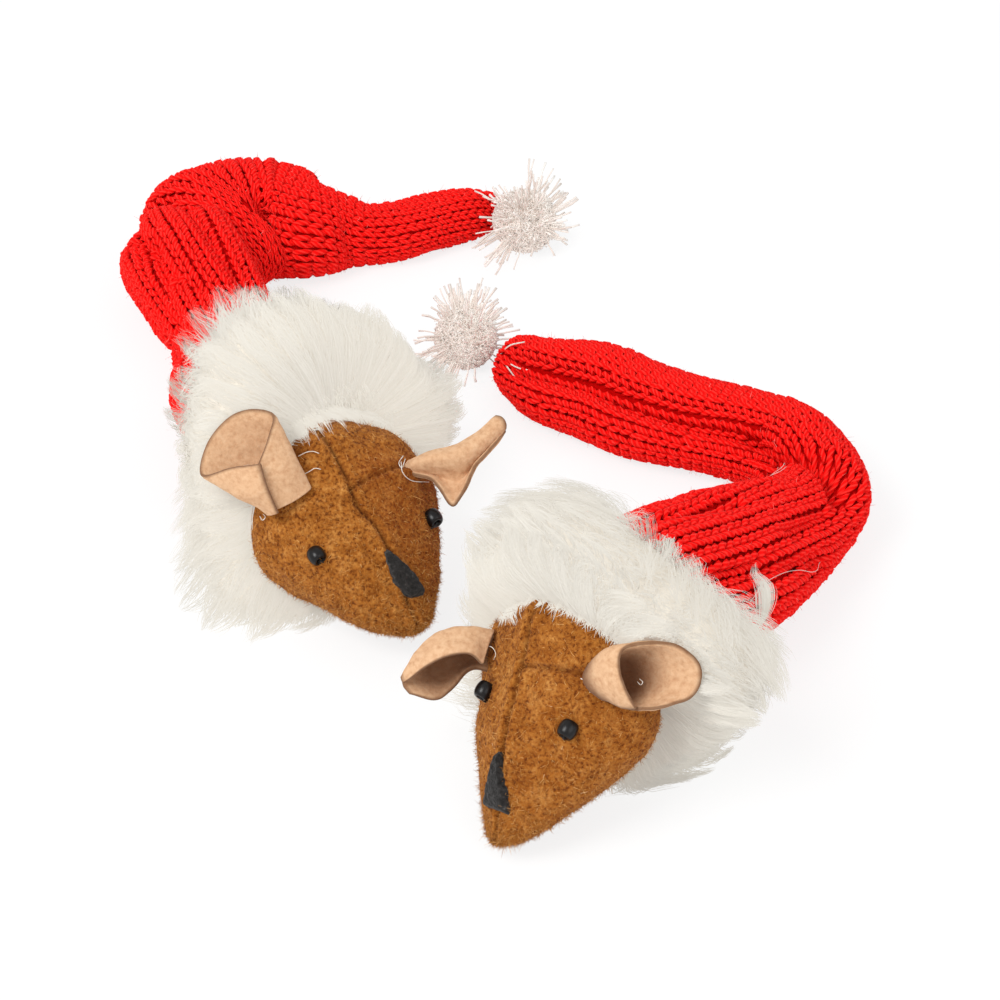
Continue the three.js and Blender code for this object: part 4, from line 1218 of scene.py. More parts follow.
def fanned_legs(tube, t_start, t_end, wale, course):
    """The same for wales that run round the tube, from its inner side over the crest."""
    outer = tube.section(tube.rows, np.full(len(tube.rows), 1.1))
    reach = np.concatenate([[0], np.cumsum(np.linalg.norm(np.diff(outer, axis=0), axis=-1))])
    low, high = np.interp([t_start, t_end], tube.rows, reach)
    middles = np.interp(np.linspace(low, high, int((high - low) / wale)), reach, tube.rows)
    spacing = np.gradient(middles)
    found = []
    for index, (middle, spread) in enumerate(zip(middles, spacing)):
        half = float(tube.half_round(middle))
        stagger = 0.5 * course * (index % 2)
        places = np.arange(1 - half + stagger, half - 1, course)[:, None, None]
        for hand in (-1, 1):
            s, t = np.broadcast_arrays(places + LEG_STEPS * LEG_RISE * course,
                                       middle + hand * LEG_OUT * spread)
            ends = [tube.section(middle + k * spread, tube.angle_at(middle, s[..., 1])) for k in (-0.5, 0.5)]
            found.append(legs_on(tube, t, s, np.linalg.norm(ends[1] - ends[0], axis=-1)))
    return [np.concatenate(parts) for parts in zip(*found)]


def legs_on(tube, t, s, width):
    point, normal = tube.surface(t, tube.angle_at(t, s))
    out_of_round = np.abs(s).max(-1) > tube.half_round(t.mean(-1)) - 0.3
    keep = ~out_of_round & (width > NARROWEST_WALE)
    return point[keep], normal[keep], np.clip(GIRTH * width[keep], THINNEST, THICKEST)


def knit_stitches(tube, t_start, t_end, wale, course, fanned=False):
    """Yarn lines, normals and radii of a stretch of knitting."""
    if fanned:
        lines, normals, radius = fanned_legs(tube, t_start, t_end, wale, course)
    else:
        low, high = np.interp([t_start, t_end], tube.rows, tube.reach)
        lines, normals, radius = stitch_legs(tube, np.arange(low, high, course), wale, course)
    random = np.random.default_rng(tube.mouse.seed + 60)
    radius = radius * random.uniform(0.92, 1.08, len(radius))
    jitter = random.normal(scale=0.08, size=(len(lines), 1, 3))
    lifted = lines + normals * (LEG_LIFT[None, :, None] * radius[:, None, None]) + jitter
    return lifted, normals, radius[:, None] * LEG_GIRTH[None, :]


def tube_liner(tube, t_start, t_end, columns, per_station, grow):
    """The fabric's inner side, which closes the gaps between stitches."""
    rows = int((t_end - t_start) * per_station) + 1
    t = np.linspace(t_start, t_end, rows)[:, None]
    angle = np.linspace(-math.pi, math.pi, columns, endpoint=False)[None, :] + 0 * t
    grid, _ = tube.surface(t + 0 * angle, angle, grow)
    return closed_tube(flatten_on_ground(grid[:, ::-1], INNER_LIFT))


def merge(parts):
    """Several sets of points and faces as one."""
    points, faces, uvs, shift = [], [], [], 0
    for part_points, part_faces, part_uv in parts:
        points.append(part_points)
        faces.extend(f + shift for f in part_faces)
        uvs.append(part_uv)
        shift += len(part_points)
    return np.concatenate(points), faces, np.concatenate(uvs)


def yarn_piece(name, stitches):
    parts = []
    for lines, normals, radii in stitches:
        world = flatten_on_ground(lines.copy(), YARN_LIFT)
        parts.append(yarns(world, normals, radii, LEG_SIDES))
    points, faces, uv = merge(parts)
    return make_piece(name, points, faces, KNIT, uv=uv)


def yarn_fuzz(name, stitches, seed):
    """Fine fibres that stand off the yarn."""
    random = np.random.default_rng(seed)
    roots = np.concatenate([lines[:, 1] for lines, _, _ in stitches])
    normals = np.concatenate([ways[:, 1] for _, ways, _ in stitches])
    picked = random.integers(0, len(roots), int(1.2 * len(roots)))
    root, normal = roots[picked], normals[picked]
    steps = np.linspace(0, 1, 4)[:, None]
    lean = random.normal(size=root.shape)
    length = random.uniform(0.5, 1.7, len(root))[:, None, None]
    lines = root[:, None] + unit(normal + 0.8 * lean)[:, None] * length * steps
    lines += 0.4 * length * steps ** 2 * unit(random.normal(size=root.shape))[:, None]
    lines = flatten_on_ground(lines, THREAD_LIFT)
    facing = unit(normal + 0.5 * VIEW_AXES[2] + 0.2 * lean)
    tone = random.random(len(lines)) ** 1.5
    widths = random.uniform(0.05, 0.09, len(lines))
    soft = unit(normal + [0, 0, 0.5])
    return ribbons(name, lines, widths, facing, RED_FIBRE, tone, [1, 1, 0.8, 0.3], soft)


# A tail's end closes over this share of the hat's length, to this radius.
CLOSING = 0.01
CLOSED_RADIUS = 0.008

# Widths of a column and heights of a row of stitches.
STITCH_SIZES = {"mouse_one": (3.4, 2), "mouse_two": (3.3, 2.1)}
LOBE_WALE = 2.9
FAN_WALE, FAN_COURSE = 4.3, 2.6

# The first hat's knitting has a lobe that bulges at the bend, and a fan of columns round the bend.
HOLLOW = (6.8, -30, 6.85, -7, 2.6, -4)
WHOLE_FOLDS = {
    "mouse_one": [HOLLOW, (1.8, 7, 3.2, 8, 4.5, -3), (3.5, 12, 3.55, 22, 2.4, -3.4)],
    "mouse_two": [
        (12, 6.5, 6.6, 8.5, 2, -4), (6.6, 8.5, 5.4, 10.5, 2.2, -4.5), (11.5, 1.5, 6, 3, 3, 0.9),
        (5.5, 8.5, 4.1, -6, 2.2, -6), (5, 12, 4.7, 12.5, 3.5, -3), (5.1, -3, 4.5, -9, 3, 1.3),
        (1.1, 4, 2.4, 1, 1.8, -2), (2.6, -9, 3.6, -7, 1.8, -1.8), (0.8, -12, 3, -16, 1.8, -1.8),
        (3.2, 3, 2.2, 7, 3, 1.2),
    ],
}
WHOLE_SLACK = 0.97
LOBE_STATIONS = [
    [-0.1, 0.31, 0.004, 0.042, 0.055],
    [-0.158, 0.4, 0.003, 0.07, 0.07],
    [-0.2, 0.48, 0.008, 0.078, 0.078],
    [-0.228, 0.555, 0.006, 0.072, 0.072],
    [-0.228, 0.632, 0.004, 0.036, 0.04],
]
LOBE_FOLDS = [
    (3.4, 13, 2.2, 9.5, 2.6, -3.4), (2.2, 9.5, 0.2, 5.5, 2.6, -3), (3, 4, 0.6, 0, 3, 1),
    (3.2, 18, 0.6, 14, 3.5, 1.2), (3, -2.5, 0.6, -5, 1.8, -1.6), (3, -8, 0.6, -10, 3, 1.4),
]
FAN_FOLDS = [HOLLOW, (5.45, 9, 5.45, 28, 2, -3.2), (5, 14, 4.9, 26, 3, 1.2), (5.95, 8, 6, 24, 3, 1.2)]
FAN_SLACK = 1.02

# Where stretches of knitting and of their inner side start and end, in stations.
CROWN_START, CROWN_INNER_START = 0.22, 0.3
BEFORE_FAN_END, AFTER_FAN_START = 4.3, 6.8
LOBE_START, LOBE_END = 0.1, 4.0
FAN_START, FAN_END = 4.0, 7.05
FAN_INNER_START, FAN_INNER_END = 3.9, 6.8

INNER_COLUMNS = 48
INNER_DEPTH = -0.3


def hat_stations(data):
    """The stations of a crown and its tail as they are shown, with one more that closes the end."""
    both = data["crown"] + data["tail"][1:]
    both = [data["shown_stations"].get(index, row) for index, row in enumerate(both)]
    behind, (x, y, lift, _, half_height) = both[-2:]
    ahead = unit(np.array([x - behind[0], y - behind[1]])) * CLOSING
    height = lift + half_height - CLOSED_RADIUS
    return [*both, [x + ahead[0], y + ahead[1], height, CLOSED_RADIUS, CLOSED_RADIUS]]


def first_crown(mouse, whole, stations, last_crown):
    """The first hat's stitches and inner sides, with its lobe and the fan round its bend."""
    wale, course = STITCH_SIZES[mouse.name]
    lobe = Tube(mouse, LOBE_STATIONS, folds=LOBE_FOLDS)
    fan = Tube(mouse, stations, slack=FAN_SLACK, folds=FAN_FOLDS)
    stitches = [
        knit_stitches(whole, CROWN_START, BEFORE_FAN_END, wale, course),
        knit_stitches(lobe, LOBE_START, LOBE_END, LOBE_WALE, course),
        knit_stitches(fan, FAN_START, FAN_END, FAN_WALE, FAN_COURSE, fanned=True),
        knit_stitches(whole, AFTER_FAN_START, last_crown - 0.5, wale, course),
    ]
    inner = [
        tube_liner(whole, CROWN_INNER_START, last_crown - 0.3, INNER_COLUMNS, 10, INNER_DEPTH),
        tube_liner(lobe, LOBE_START, LOBE_END, INNER_COLUMNS, 12, INNER_DEPTH),
        tube_liner(fan, FAN_INNER_START, FAN_INNER_END, INNER_COLUMNS, 12, INNER_DEPTH),
    ]
    return stitches, inner


def second_crown(mouse, whole, last_crown):
    stitches = [knit_stitches(whole, CROWN_START, last_crown - 0.5, *STITCH_SIZES[mouse.name])]
    inner = [tube_liner(whole, CROWN_INNER_START, last_crown - 0.3, INNER_COLUMNS, 10, INNER_DEPTH)]
    return stitches, inner


def add_hat(mouse):
    stations = hat_stations(mouse.data)
    last_crown = len(mouse.data["crown"]) - 1
    mouse.hat = Tube(mouse, stations, slack=WHOLE_SLACK, folds=WHOLE_FOLDS[mouse.name])
    if mouse.name == "mouse_one":
        stitches, inner = first_crown(mouse, mouse.hat, stations, last_crown)
    else:
        stitches, inner = second_crown(mouse, mouse.hat, last_crown)
    add_crown(mouse, stitches, inner)
    add_tail(mouse, last_crown, len(stations))


def add_crown(mouse, stitches, inner):
    name = mouse.name
    crown = yarn_piece(f"{name}_crown_knit", stitches)
    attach(crown, mouse.body)
    fuzz = yarn_fuzz(f"{name}_crown_fuzz", stitches, mouse.seed + 61)
    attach(fuzz, mouse.body)
    points, faces, _ = merge([(points, faces, points[:, :2]) for points, faces in inner])
    liner = make_piece(f"{name}_crown_inner", points, faces, RED_LINER_SHADE)
    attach(liner, mouse.body)
    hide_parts(f"{name}_hat_crown")


def add_tail(mouse, last_crown, count):
    """The hat from its hinge to its gathered end."""
    name, whole, tail_body = mouse.name, mouse.hat, f"{mouse.name}_tail"
    stitches = [knit_stitches(whole, last_crown - 0.5, count - 1.05, *STITCH_SIZES[name])]
    way = unit(whole.middle(np.array(last_crown + 0.1)) - whole.middle(np.array(last_crown - 0.1)))
    tail = yarn_piece(f"{name}_tail_knit", stitches)
    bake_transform(tail)
    points, faces = tube_liner(whole, last_crown - 0.6, count - 1.02, INNER_COLUMNS, 12, INNER_DEPTH)
    inner = make_piece(f"{name}_tail_inner", points, faces, RED_LINER_SHADE)
    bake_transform(inner)
    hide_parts(f"{name}_hat_tail")
    fuzz = yarn_fuzz(f"{name}_tail_fuzz", stitches, mouse.seed + 62)
    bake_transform(fuzz)


# Ruff

def pile_point(mouse, round_angle, angle, share):
    """A place in the ruff's pile: round the neck, round the pile's own section, and outward in it."""
    outside, ahead = np.cos(angle), np.sin(angle)
    tuft = 1.1 * np.sin(3 * round_angle + 1) * np.sin(7 * round_angle)
    tuft = tuft + 0.8 * np.sin(19 * round_angle) * np.sin(4 * round_angle + 2)
    outer = PILE_LENGTH + mouse.ruff_reach(round_angle) + tuft * outside
    reach = np.where(outside > 0, outer, PILE_DEPTH)
    fullness = np.where(outside > 0, 1.0, np.where(ahead > 0, 0.3, 0.7))
    radius = RING_RADIUS + share * reach * outside
    front = np.where(ahead > 0, mouse.ruff_front(round_angle), 1)
    x = share * PILE_HALF_WIDTH * front * np.sign(ahead) * np.abs(ahead) ** fullness
    local = np.stack([x, radius * np.cos(round_angle), radius * np.sin(round_angle)], -1)
    point = local @ mouse.ruff_turn.T + mouse.ruff_place
    forward = unit(mouse.ruff_turn[:, 0] * [1, 1, 0])
    low = np.clip(1 - point[..., 2] / PILE_SPLAY_HEIGHT, 0, 1) ** 1.5
    free = np.maximum(np.maximum(outside, ahead), 0) * mouse.ruff_splay(round_angle)
    away = unit((point - (mouse.ruff_place - forward * PILE_LENGTH)) * [1, 1, 0])
    return point + away * (PILE_SPLAY * low * free)[..., None]


# The two layers of fur: how many strands, how many points each has, how far its tip sweeps towards the
# ruff's outer rim, how far the tip stands over the ground, how far tips gather into locks, how wide a
# lock is round the neck and across the pile, the strands' widths, how much further a stray's tip
# stands, and whether the fringe on the head belongs to the layer.
FUR_LAYERS = {
    "fur": {
        "count": 19000, "points": 5, "sweep": (0.4, 0.75), "rise": (0.08, 0.24), "gather": 0.5,
        "lock": (0.13, 0.4), "widths": (0.12, 0.2), "stray": 0.14, "fringe": True,
    },
    "long_fur": {
        "count": 11000, "points": 7, "sweep": (0.12, 0.5), "rise": (0.16, 0.6), "gather": 0.95,
        "lock": (0.19, 0.6), "widths": (0.1, 0.18), "stray": 0.2, "fringe": False,
    },
}
QUICK_SHARE = 0.4
ROOT_ANGLE = 172
FRINGE_COUNT = 1600 if FULL else 750
EDGE_COUNT = 3200 if FULL else 1500
LONGEST_STEP = 2.4  # a fringe strand that leaps further was pushed across the head
OVER_HEAD, EDGE_OVER_HEAD = 0.25, 0.35
FRINGE_POINTS = 5
FRINGE_WISPS = 20
LOOSE_SHARE = 0.3
EDGE_ANGLES = (118, 178)

# How far fur and its ground stay behind an ear, as the photograph sees it, and beside it.
FUR_BEHIND_EAR, CORE_BEHIND_EAR = 1.0, 1.6
EAR_MARGIN = 4
EAR_SLOPE = 2.5
EAR_CLEARANCE = 0.8


def add_ruff(mouse):
    name = mouse.name
    rows, columns = (120, 60) if FULL else (60, 36)
    round_angle = np.linspace(0, TAU, rows, endpoint=False)[:, None]
    angle = np.linspace(0, TAU, columns, endpoint=False)[None, :]
    rough = np.dstack([
        8 * np.cos(round_angle) + 0 * angle, 8 * np.sin(round_angle) + 0 * angle, angle + 0 * round_angle,
    ])
    depth = core_share(angle) + 0.03 * noise(rough, 1.2, mouse.seed)
    core = behind_ears(mouse, pile_point(mouse, round_angle, angle, depth), CORE_BEHIND_EAR)
    core = flatten_on_ground(core, CORE_LIFT)
    faces = grid_faces(rows + 1, columns) % (rows * columns)
    ground = make_piece(f"{name}_ruff_ground", core.reshape(-1, 3), [faces], FUR_GROUND)
    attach(ground, mouse.body)
    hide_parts(f"{name}_ruff_pile", f"{name}_ruff_backing")
    for index, (word, layer) in enumerate(FUR_LAYERS.items()):
        add_fur(mouse, f"{name}_ruff_{word}", layer, mouse.seed + 70 + index)


def lock_guides(mouse, layer, around, root_angle, seed):
    """The middle line of each strand's lock, and a number from -1 to 1 that the lock shares."""
    steps = np.linspace(0, 1, layer["points"])
    lock, lock_span = layer["lock"]
    lock_round = (np.floor(around / lock) + 0.5) * lock
    lock_angle = (np.floor(root_angle / lock_span) + 0.5) * lock_span
    cells = np.stack([lock_round / lock, lock_angle / lock_span, 0 * around], -1).round()
    shift, lean, length = (lattice_value(cells, seed + k) for k in (5, 6, 7))
    low, high = layer["rise"]
    lock_end = lock_angle * (np.mean(layer["sweep"]) + 0.15 * shift)
    lock_share = core_share(lock_end) + lerp(low, high, 0.6 + 0.5 * length)
    guide = pile_point(
        mouse,
        (lock_round + 0.3 * lock * shift)[:, None] + (0.7 * lock * lean)[:, None] * steps,
        lerp(lock_angle[:, None], lock_end[:, None], steps),
        lerp(core_share(lock_angle)[:, None], lock_share[:, None], steps ** 0.8),
    )
    return guide, shift


def fur_strands(mouse, random, layer, seed):
    """Strands that lie outward over the ruff's ground and gather into locks at their tips, their ways
    out and the number that each lock shares."""
    count = int(layer["count"] * (1 if FULL else QUICK_SHARE))
    around = random.uniform(0, TAU, count)
    root_angle = np.radians(random.uniform(-ROOT_ANGLE, ROOT_ANGLE, count))
    swept = root_angle * random.uniform(*layer["sweep"], count)
    stray = random.random(count) > 0.96
    tip_share = core_share(swept) + random.uniform(*layer["rise"], count) + layer["stray"] * stray
    steps = np.linspace(0, 1, layer["points"])
    drift = random.normal(scale=0.06, size=count)
    lines = pile_point(
        mouse,
        around[:, None] + drift[:, None] * steps ** 1.5,
        lerp(root_angle[:, None], swept[:, None], steps),
        lerp(core_share(root_angle)[:, None] - 0.05, tip_share[:, None], steps ** 0.8),
    )
    guide, shift = lock_guides(mouse, layer, around, root_angle, seed)
    gather = (layer["gather"] * steps ** 1.5)[None, :, None] * random.uniform(0.6, 1, count)[:, None, None]
    lines = lerp(lines, guide, gather)
    lines += random.normal(scale=0.16, size=lines.shape) * steps[None, :, None]
    lines = over_hat(mouse, mouse.out_of_head(lines, OVER_HEAD))
    centre = pile_point(mouse, around, root_angle, 0.0 * around)
    return lines, unit(lines[:, len(steps) // 2] - centre), shift


def with_fringe(mouse, random, lines, out, shift):
    """The same strands, with the fringe that lies on the head."""
    fringe = head_fringe(mouse, random, FRINGE_COUNT)
    edge = mouse.out_of_head(inner_fringe(mouse, random, EDGE_COUNT), EDGE_OVER_HEAD)
    fringe = np.concatenate([fringe, edge])
    longest = np.linalg.norm(np.diff(fringe, axis=1), axis=-1).max(-1)
    fringe = fringe[longest < LONGEST_STEP]
    lines = np.concatenate([lines, fringe])
    out = np.concatenate([out, unit(fringe[:, 2] - mouse.head_place)])
    return lines, out, np.concatenate([shift, np.zeros(len(fringe))])


def add_fur(mouse, name, layer, seed):
    random = np.random.default_rng(seed)
    lines, out, shift = fur_strands(mouse, random, layer, seed)
    if layer["fringe"]:
        lines, out, shift = with_fringe(mouse, random, lines, out, shift)
    lines = flatten_on_ground(behind_ears(mouse, lines, FUR_BEHIND_EAR), FUR_LIFT)
    keep = clear_of_ears(mouse, lines)
    lines, out, shift = lines[keep], out[keep], shift[keep]
    out = unit(out + [0, 0, 0.7] + 0.6 * VIEW_AXES[2])
    facing = unit(out + 0.6 * VIEW_AXES[2] + 0.1 * random.normal(size=out.shape))
    tone = np.clip(0.55 + 0.15 * shift + random.normal(scale=0.16, size=len(lines)), 0, 1)
    widths = random.uniform(*layer["widths"], len(lines))
    taper = np.interp(np.linspace(0, 1, layer["points"]), [0, 0.3, 0.6, 1], [1, 1, 0.8, 0.15])
    fur = ribbons(name, lines, widths, facing, FUR, tone, taper, soft=out)
    fur.visible_shadow = False
    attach(fur, mouse.body)


def core_share(angle):
    """How much of the pile is dense ground: less on the outer rim, where loose tips show."""
    return 0.88 - 0.2 * smooth_step(0.2, 1, np.cos(angle))


def head_fringe(mouse, random, count):
    """Strands that start in the ruff's inner edge and lie forward over the head's wool, in wisps."""
    steps = np.linspace(0, 1, FRINGE_POINTS)
    low, high = math.radians(-10), math.radians(190)
    wisps = random.uniform(low, high, FRINGE_WISPS)
    wisp = random.integers(0, len(wisps), count)
    loose = random.random(count) < LOOSE_SHARE
    angle = np.where(loose, random.uniform(low, high, count),
                     wisps[wisp] + random.normal(scale=0.1, size=count))
    share = random.uniform(0.02, 0.12, count)
    reach = random.uniform(0.05, 0.2, count) * np.where(loose, 0.7, 1)
    turn = np.where(loose, random.normal(scale=0.12, size=count), 0.85 * (wisps[wisp] - angle))
    rise = 0.4 + 1.4 * np.sin(steps * math.pi * 0.85)
    places = head_point(
        share[:, None] + reach[:, None] * steps, angle[:, None] + turn[:, None] * steps,
        rise[None, :] * random.uniform(0.5, 1.2, count)[:, None],
    )
    return mouse.from_head(places)


def inner_fringe(mouse, random, count):
    """Strands of the ruff's inner edge that lean forward on the head."""
    steps = np.linspace(0, 1, FRINGE_POINTS)[:, None]
    around = random.uniform(0, TAU, count)
    angle = np.radians(random.uniform(*EDGE_ANGLES, count))
    root = pile_point(mouse, around, angle, core_share(angle) - 0.04)
    inward = unit(mouse.ruff_place - root)
    clump = noise(np.stack([9 * np.cos(around), 9 * np.sin(around), 0 * around], -1), 1.6, mouse.seed + 75)
    length = 2.2 + 3.4 * smooth_step(0.1, 0.6, clump) + random.normal(scale=0.7, size=count)
    length = length.clip(0.8, 8)[:, None, None]
    way = unit(mouse.ruff_turn[:, 0] + 0.35 * inward + random.normal(scale=0.16, size=root.shape))
    return root[:, None] + length * (way[:, None] * steps + 0.3 * inward[:, None] * steps ** 2)


OVER_HAT_START = 0.55
OVER_HAT_PLACES = 90
OVER_KNIT = 0.9
BESIDE_PLACE = 1.5


def over_hat(mouse, lines):
    """Fur that would run inside the hat lies over it instead."""
    tube = mouse.hat
    t = np.linspace(OVER_HAT_START, tube.last, OVER_HAT_PLACES)
    middles, sides = tube.middle(t), tube.side(t)
    flat = lines.reshape(-1, 3)
    gaps = np.linalg.norm((flat[:, None, :2] - middles[None, :, :2]), axis=-1)
    nearest = gaps.argmin(1)
    offset = flat - middles[nearest]
    across = (offset * sides[nearest]).sum(-1)
    along = offset - sides[nearest] * across[:, None]
    along[:, 2] = 0
    ahead = np.linalg.norm(along, axis=-1)
    half_width = tube.half_width(t[nearest]) + OVER_KNIT
    half_height = tube.half_height(t[nearest]) + OVER_KNIT
    depth = np.sqrt((across / half_width) ** 2 + (offset[:, 2] / half_height) ** 2)
    inside = (depth < 1) & (ahead < BESIDE_PLACE)
    scale = np.where(inside, 1 / np.maximum(depth, 0.2), 1)
    moved = middles[nearest] + along + sides[nearest] * (across * scale)[:, None]
    moved[:, 2] += offset[:, 2] * scale
    return np.where(inside[:, None], moved, flat).reshape(lines.shape)


# Loose things on the second mouse's hat, told by t and s on its tube: thread loops in the bend, and a
# tuft of fur caught in the knitting.
LOOSE_THREADS = [
    [(5.4, 9.5), (5.0, 7), (4.5, 6.5), (4.3, 9), (4.6, 11), (5.0, 10), (4.8, 8)],
    [(5.3, 11), (4.9, 10.5), (4.5, 11.5), (4.2, 10.5), (4.0, 8.5), (4.1, 6.5), (4.4, 5.5)],
    [(1.4, -18), (1.7, -16), (2.1, -15.5), (2.4, -16), (2.6, -17), (2.8, -17), (3.0, -16)],
]
TUFT_FROM, TUFT_TO = (1.54, -23.5), (1.76, -12)
TUFT_COUNT = 150
LOOSE_POINTS = 40
LOOSE_RADIUS = 0.05


def add_loose_threads(mouse):
    tube = mouse.hat
    lines, normals = [], []
    for places in LOOSE_THREADS:
        t, s = through(places, LOOSE_POINTS).T
        line, normal = tube.surface(t, tube.angle_at(t, s), 1.5)
        lines.append(line)
        normals.append(normal)
    lines, normals = np.array(lines), np.array(normals)
    radii = np.full(lines.shape[:2], LOOSE_RADIUS)
    points, faces, uv = yarns(lines, normals, radii, 5)
    tone = {"tone": points[:, 0] * 0}
    threads = make_piece(f"{mouse.name}_loose_threads", points, faces, POMPOM, tone, uv=uv)
    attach(threads, mouse.body)


def add_caught_tuft(mouse):
    tube = mouse.hat
    random = np.random.default_rng(mouse.seed + 65)
    count, steps = TUFT_COUNT, np.linspace(0, 1, 7)
    start, end = np.array(TUFT_FROM), np.array(TUFT_TO)
    reach = random.uniform(0.5, 1, count)[:, None]
    begin = random.uniform(0, 0.35, count)[:, None]
    share = begin + (reach - begin) * steps
    places = start + (end - start) * share[..., None]
    spread = random.normal(size=(count, 1)) * (0.3 + 0.9 * np.sin(share * math.pi)) * 0.8
    t = places[..., 0] + 0.07 * spread
    line, normal = tube.surface(t, tube.angle_at(t, places[..., 1]), 1.3)
    line += normal * (0.8 * random.random((count, 1)) * np.sin(share * math.pi))[..., None]
    tone = random.random(count)
    widths = random.uniform(0.1, 0.16, count)
    tuft = ribbons(f"{mouse.name}_caught_tuft", line, widths, normal[:, 3], FUR, tone,
                   [0.3, 0.8, 1, 1, 0.8, 0.5, 0.15], soft=unit(normal[:, 3] + [0, 0, 0.7]))
    tuft.visible_shadow = False
    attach(tuft, mouse.body)


def ear_tree(places):
    tree = KDTree(len(places))
    for index, place in enumerate(places):
        tree.insert(place, index)
    tree.balance()
    return tree


def behind_ears(mouse, points, gap):
    """Fur in front of an ear, as the photograph sees it, is pressed back behind the ear."""
    ears = np.concatenate(mouse.ear_places) @ VIEW_AXES.T
    tree = ear_tree(ears * [1, 1, 0])
    flat = points.reshape(-1, 3) @ VIEW_AXES.T
    low, high = ears.min(0) - EAR_MARGIN, ears.max(0) + EAR_MARGIN
    near = ((flat[:, :2] > low[:2]) & (flat[:, :2] < high[:2])).all(-1) & (flat[:, 2] > low[2])
    for index in np.nonzero(near)[0]:
        _, there, apart = tree.find((*flat[index, :2], 0))
        limit = ears[there, 2] - gap + EAR_SLOPE * max(apart - EAR_CLEARANCE, 0)
        flat[index, 2] = min(flat[index, 2], limit)
    return (flat @ VIEW_AXES).reshape(points.shape)


def clear_of_ears(mouse, lines):
    """Which lines keep off the ears."""
    places = np.concatenate(mouse.ear_places)
    tree = ear_tree(places)
    low, high = places.min(0) - 1, places.max(0) + 1
    near = ((lines > low) & (lines < high)).all(-1).any(-1)
    keep = np.ones(len(lines), bool)
    for index in np.nonzero(near)[0]:
        keep[index] = all(tree.find(point)[2] > EAR_CLEARANCE for point in lines[index])
    return keep


# Pompom

SHORT_COUNT = 1000 if FULL else 600
LONG_COUNT = 170
CURL_COUNT = 1500 if FULL else 800
TUFT_WAYS = 48
YARN_POINTS = 6
YARN_STEPS = np.linspace(0, 1, YARN_POINTS)[:, None]
YARN_TAPER = [1, 1, 0.9, 0.85, 0.95, 1.1]
CURL_TURN = 4.2
SHORT_WIDTHS, LONG_WIDTHS = (0.2, 0.32), (0.36, 0.56)


def short_yarns(random, middle, radius):
    ways = unit(random.normal(size=(SHORT_COUNT, 3)))
    share = random.uniform(0.74, 0.88, SHORT_COUNT)
    bend = unit(random.normal(size=(SHORT_COUNT, 3)))[:, None]
    reach = (radius * share)[:, None, None]
    lines = middle + ways[:, None] * lerp(0.3 * radius, reach, YARN_STEPS)
    return lines + bend * reach * 0.25 * np.sin(YARN_STEPS * math.pi * 0.9) * YARN_STEPS


def long_yarns(random, middle, radius, neck_way):
    """Ends that stand out of the ball in tufts, away from the tail and the ground."""
    tufts = unit(random.normal(size=(TUFT_WAYS, 3)))
    tufts = tufts[(tufts @ neck_way < 0.75) & (tufts[:, 2] > -0.55)]
    tuft = random.integers(0, len(tufts), LONG_COUNT)
    ways = unit(tufts[tuft] + random.normal(scale=0.2, size=(LONG_COUNT, 3)))
    bend = unit(tufts[tuft][:, [1, 2, 0]] + random.normal(scale=0.5, size=(LONG_COUNT, 3)))[:, None]
    reach = (radius * random.uniform(1.05, 1.55, LONG_COUNT))[:, None, None]
    lines = middle + ways[:, None] * lerp(0.5 * radius, reach, YARN_STEPS)
    lines = lines + bend * reach * 0.16 * YARN_STEPS ** 2
    lines += random.normal(scale=0.12, size=lines.shape) * YARN_STEPS
    return lines


def curled_yarns(random, middle, radius):
    """Small curls that cover the ball."""
    ball = unit(random.normal(size=(CURL_COUNT, 3)))
    start = unit(np.cross(ball, random.normal(size=(CURL_COUNT, 3))))
    turned = np.cross(ball, start)
    turn = random.uniform(0, TAU, CURL_COUNT)[:, None, None]
    angle = np.linspace(0, CURL_TURN, YARN_POINTS)[:, None] + turn
    size = random.uniform(0.5, 1.2, CURL_COUNT)[:, None, None]
    lines = ball[:, None] * 0.79 * radius
    lines = lines + size * (np.cos(angle) * start[:, None] + np.sin(angle) * turned[:, None])
    lines += ball[:, None] * (0.5 * np.sin(2 * angle)) + middle
    return lines


def add_pompom(mouse):
    """A ball of cut yarn ends, drawn up close to the tail's tip."""
    radius = POMPOM_RADIUS * mouse.data["pompom_share"]
    middle = place_of([*mouse.data["pompom_place"], 0]) + mouse.spot
    middle += [*mouse.data["pompom_shift"], radius - GROUND_SINK]
    x, y, lift, _, half_height = mouse.data["tail"][-1]
    tip = place_of([x, y, lift + half_height]) + mouse.spot
    add_pompom_yarn(mouse, middle, radius, unit(tip - middle))
    add_pompom_core(mouse, middle, radius)
    add_tie(mouse)


def add_pompom_yarn(mouse, middle, radius, neck_way):
    name = mouse.name
    random = np.random.default_rng(mouse.seed + 90)
    short = short_yarns(random, middle, radius)
    long = long_yarns(random, middle, radius, neck_way)
    curls = curled_yarns(random, middle, radius)
    lines = flatten_on_ground(np.concatenate([short, long, curls]), THREAD_LIFT)
    widths = random.uniform(*SHORT_WIDTHS, len(lines))
    widths[len(short):len(short) + len(long)] = random.uniform(*LONG_WIDTHS, len(long))
    radii = 0.5 * widths[:, None] * YARN_TAPER
    normals = unit(random.normal(size=lines.shape[:1] + (1, 3))) + 0 * lines
    points, faces, uv = yarns(lines, normals, radii, 4)
    tone = np.repeat(random.random(len(lines)), len(points) // len(lines))
    strands = make_piece(f"{name}_pompom_yarn", points, faces, POMPOM, {"tone": tone}, uv=uv)
    strands.visible_shadow = False
    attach(strands, f"{name}_pompom_end")


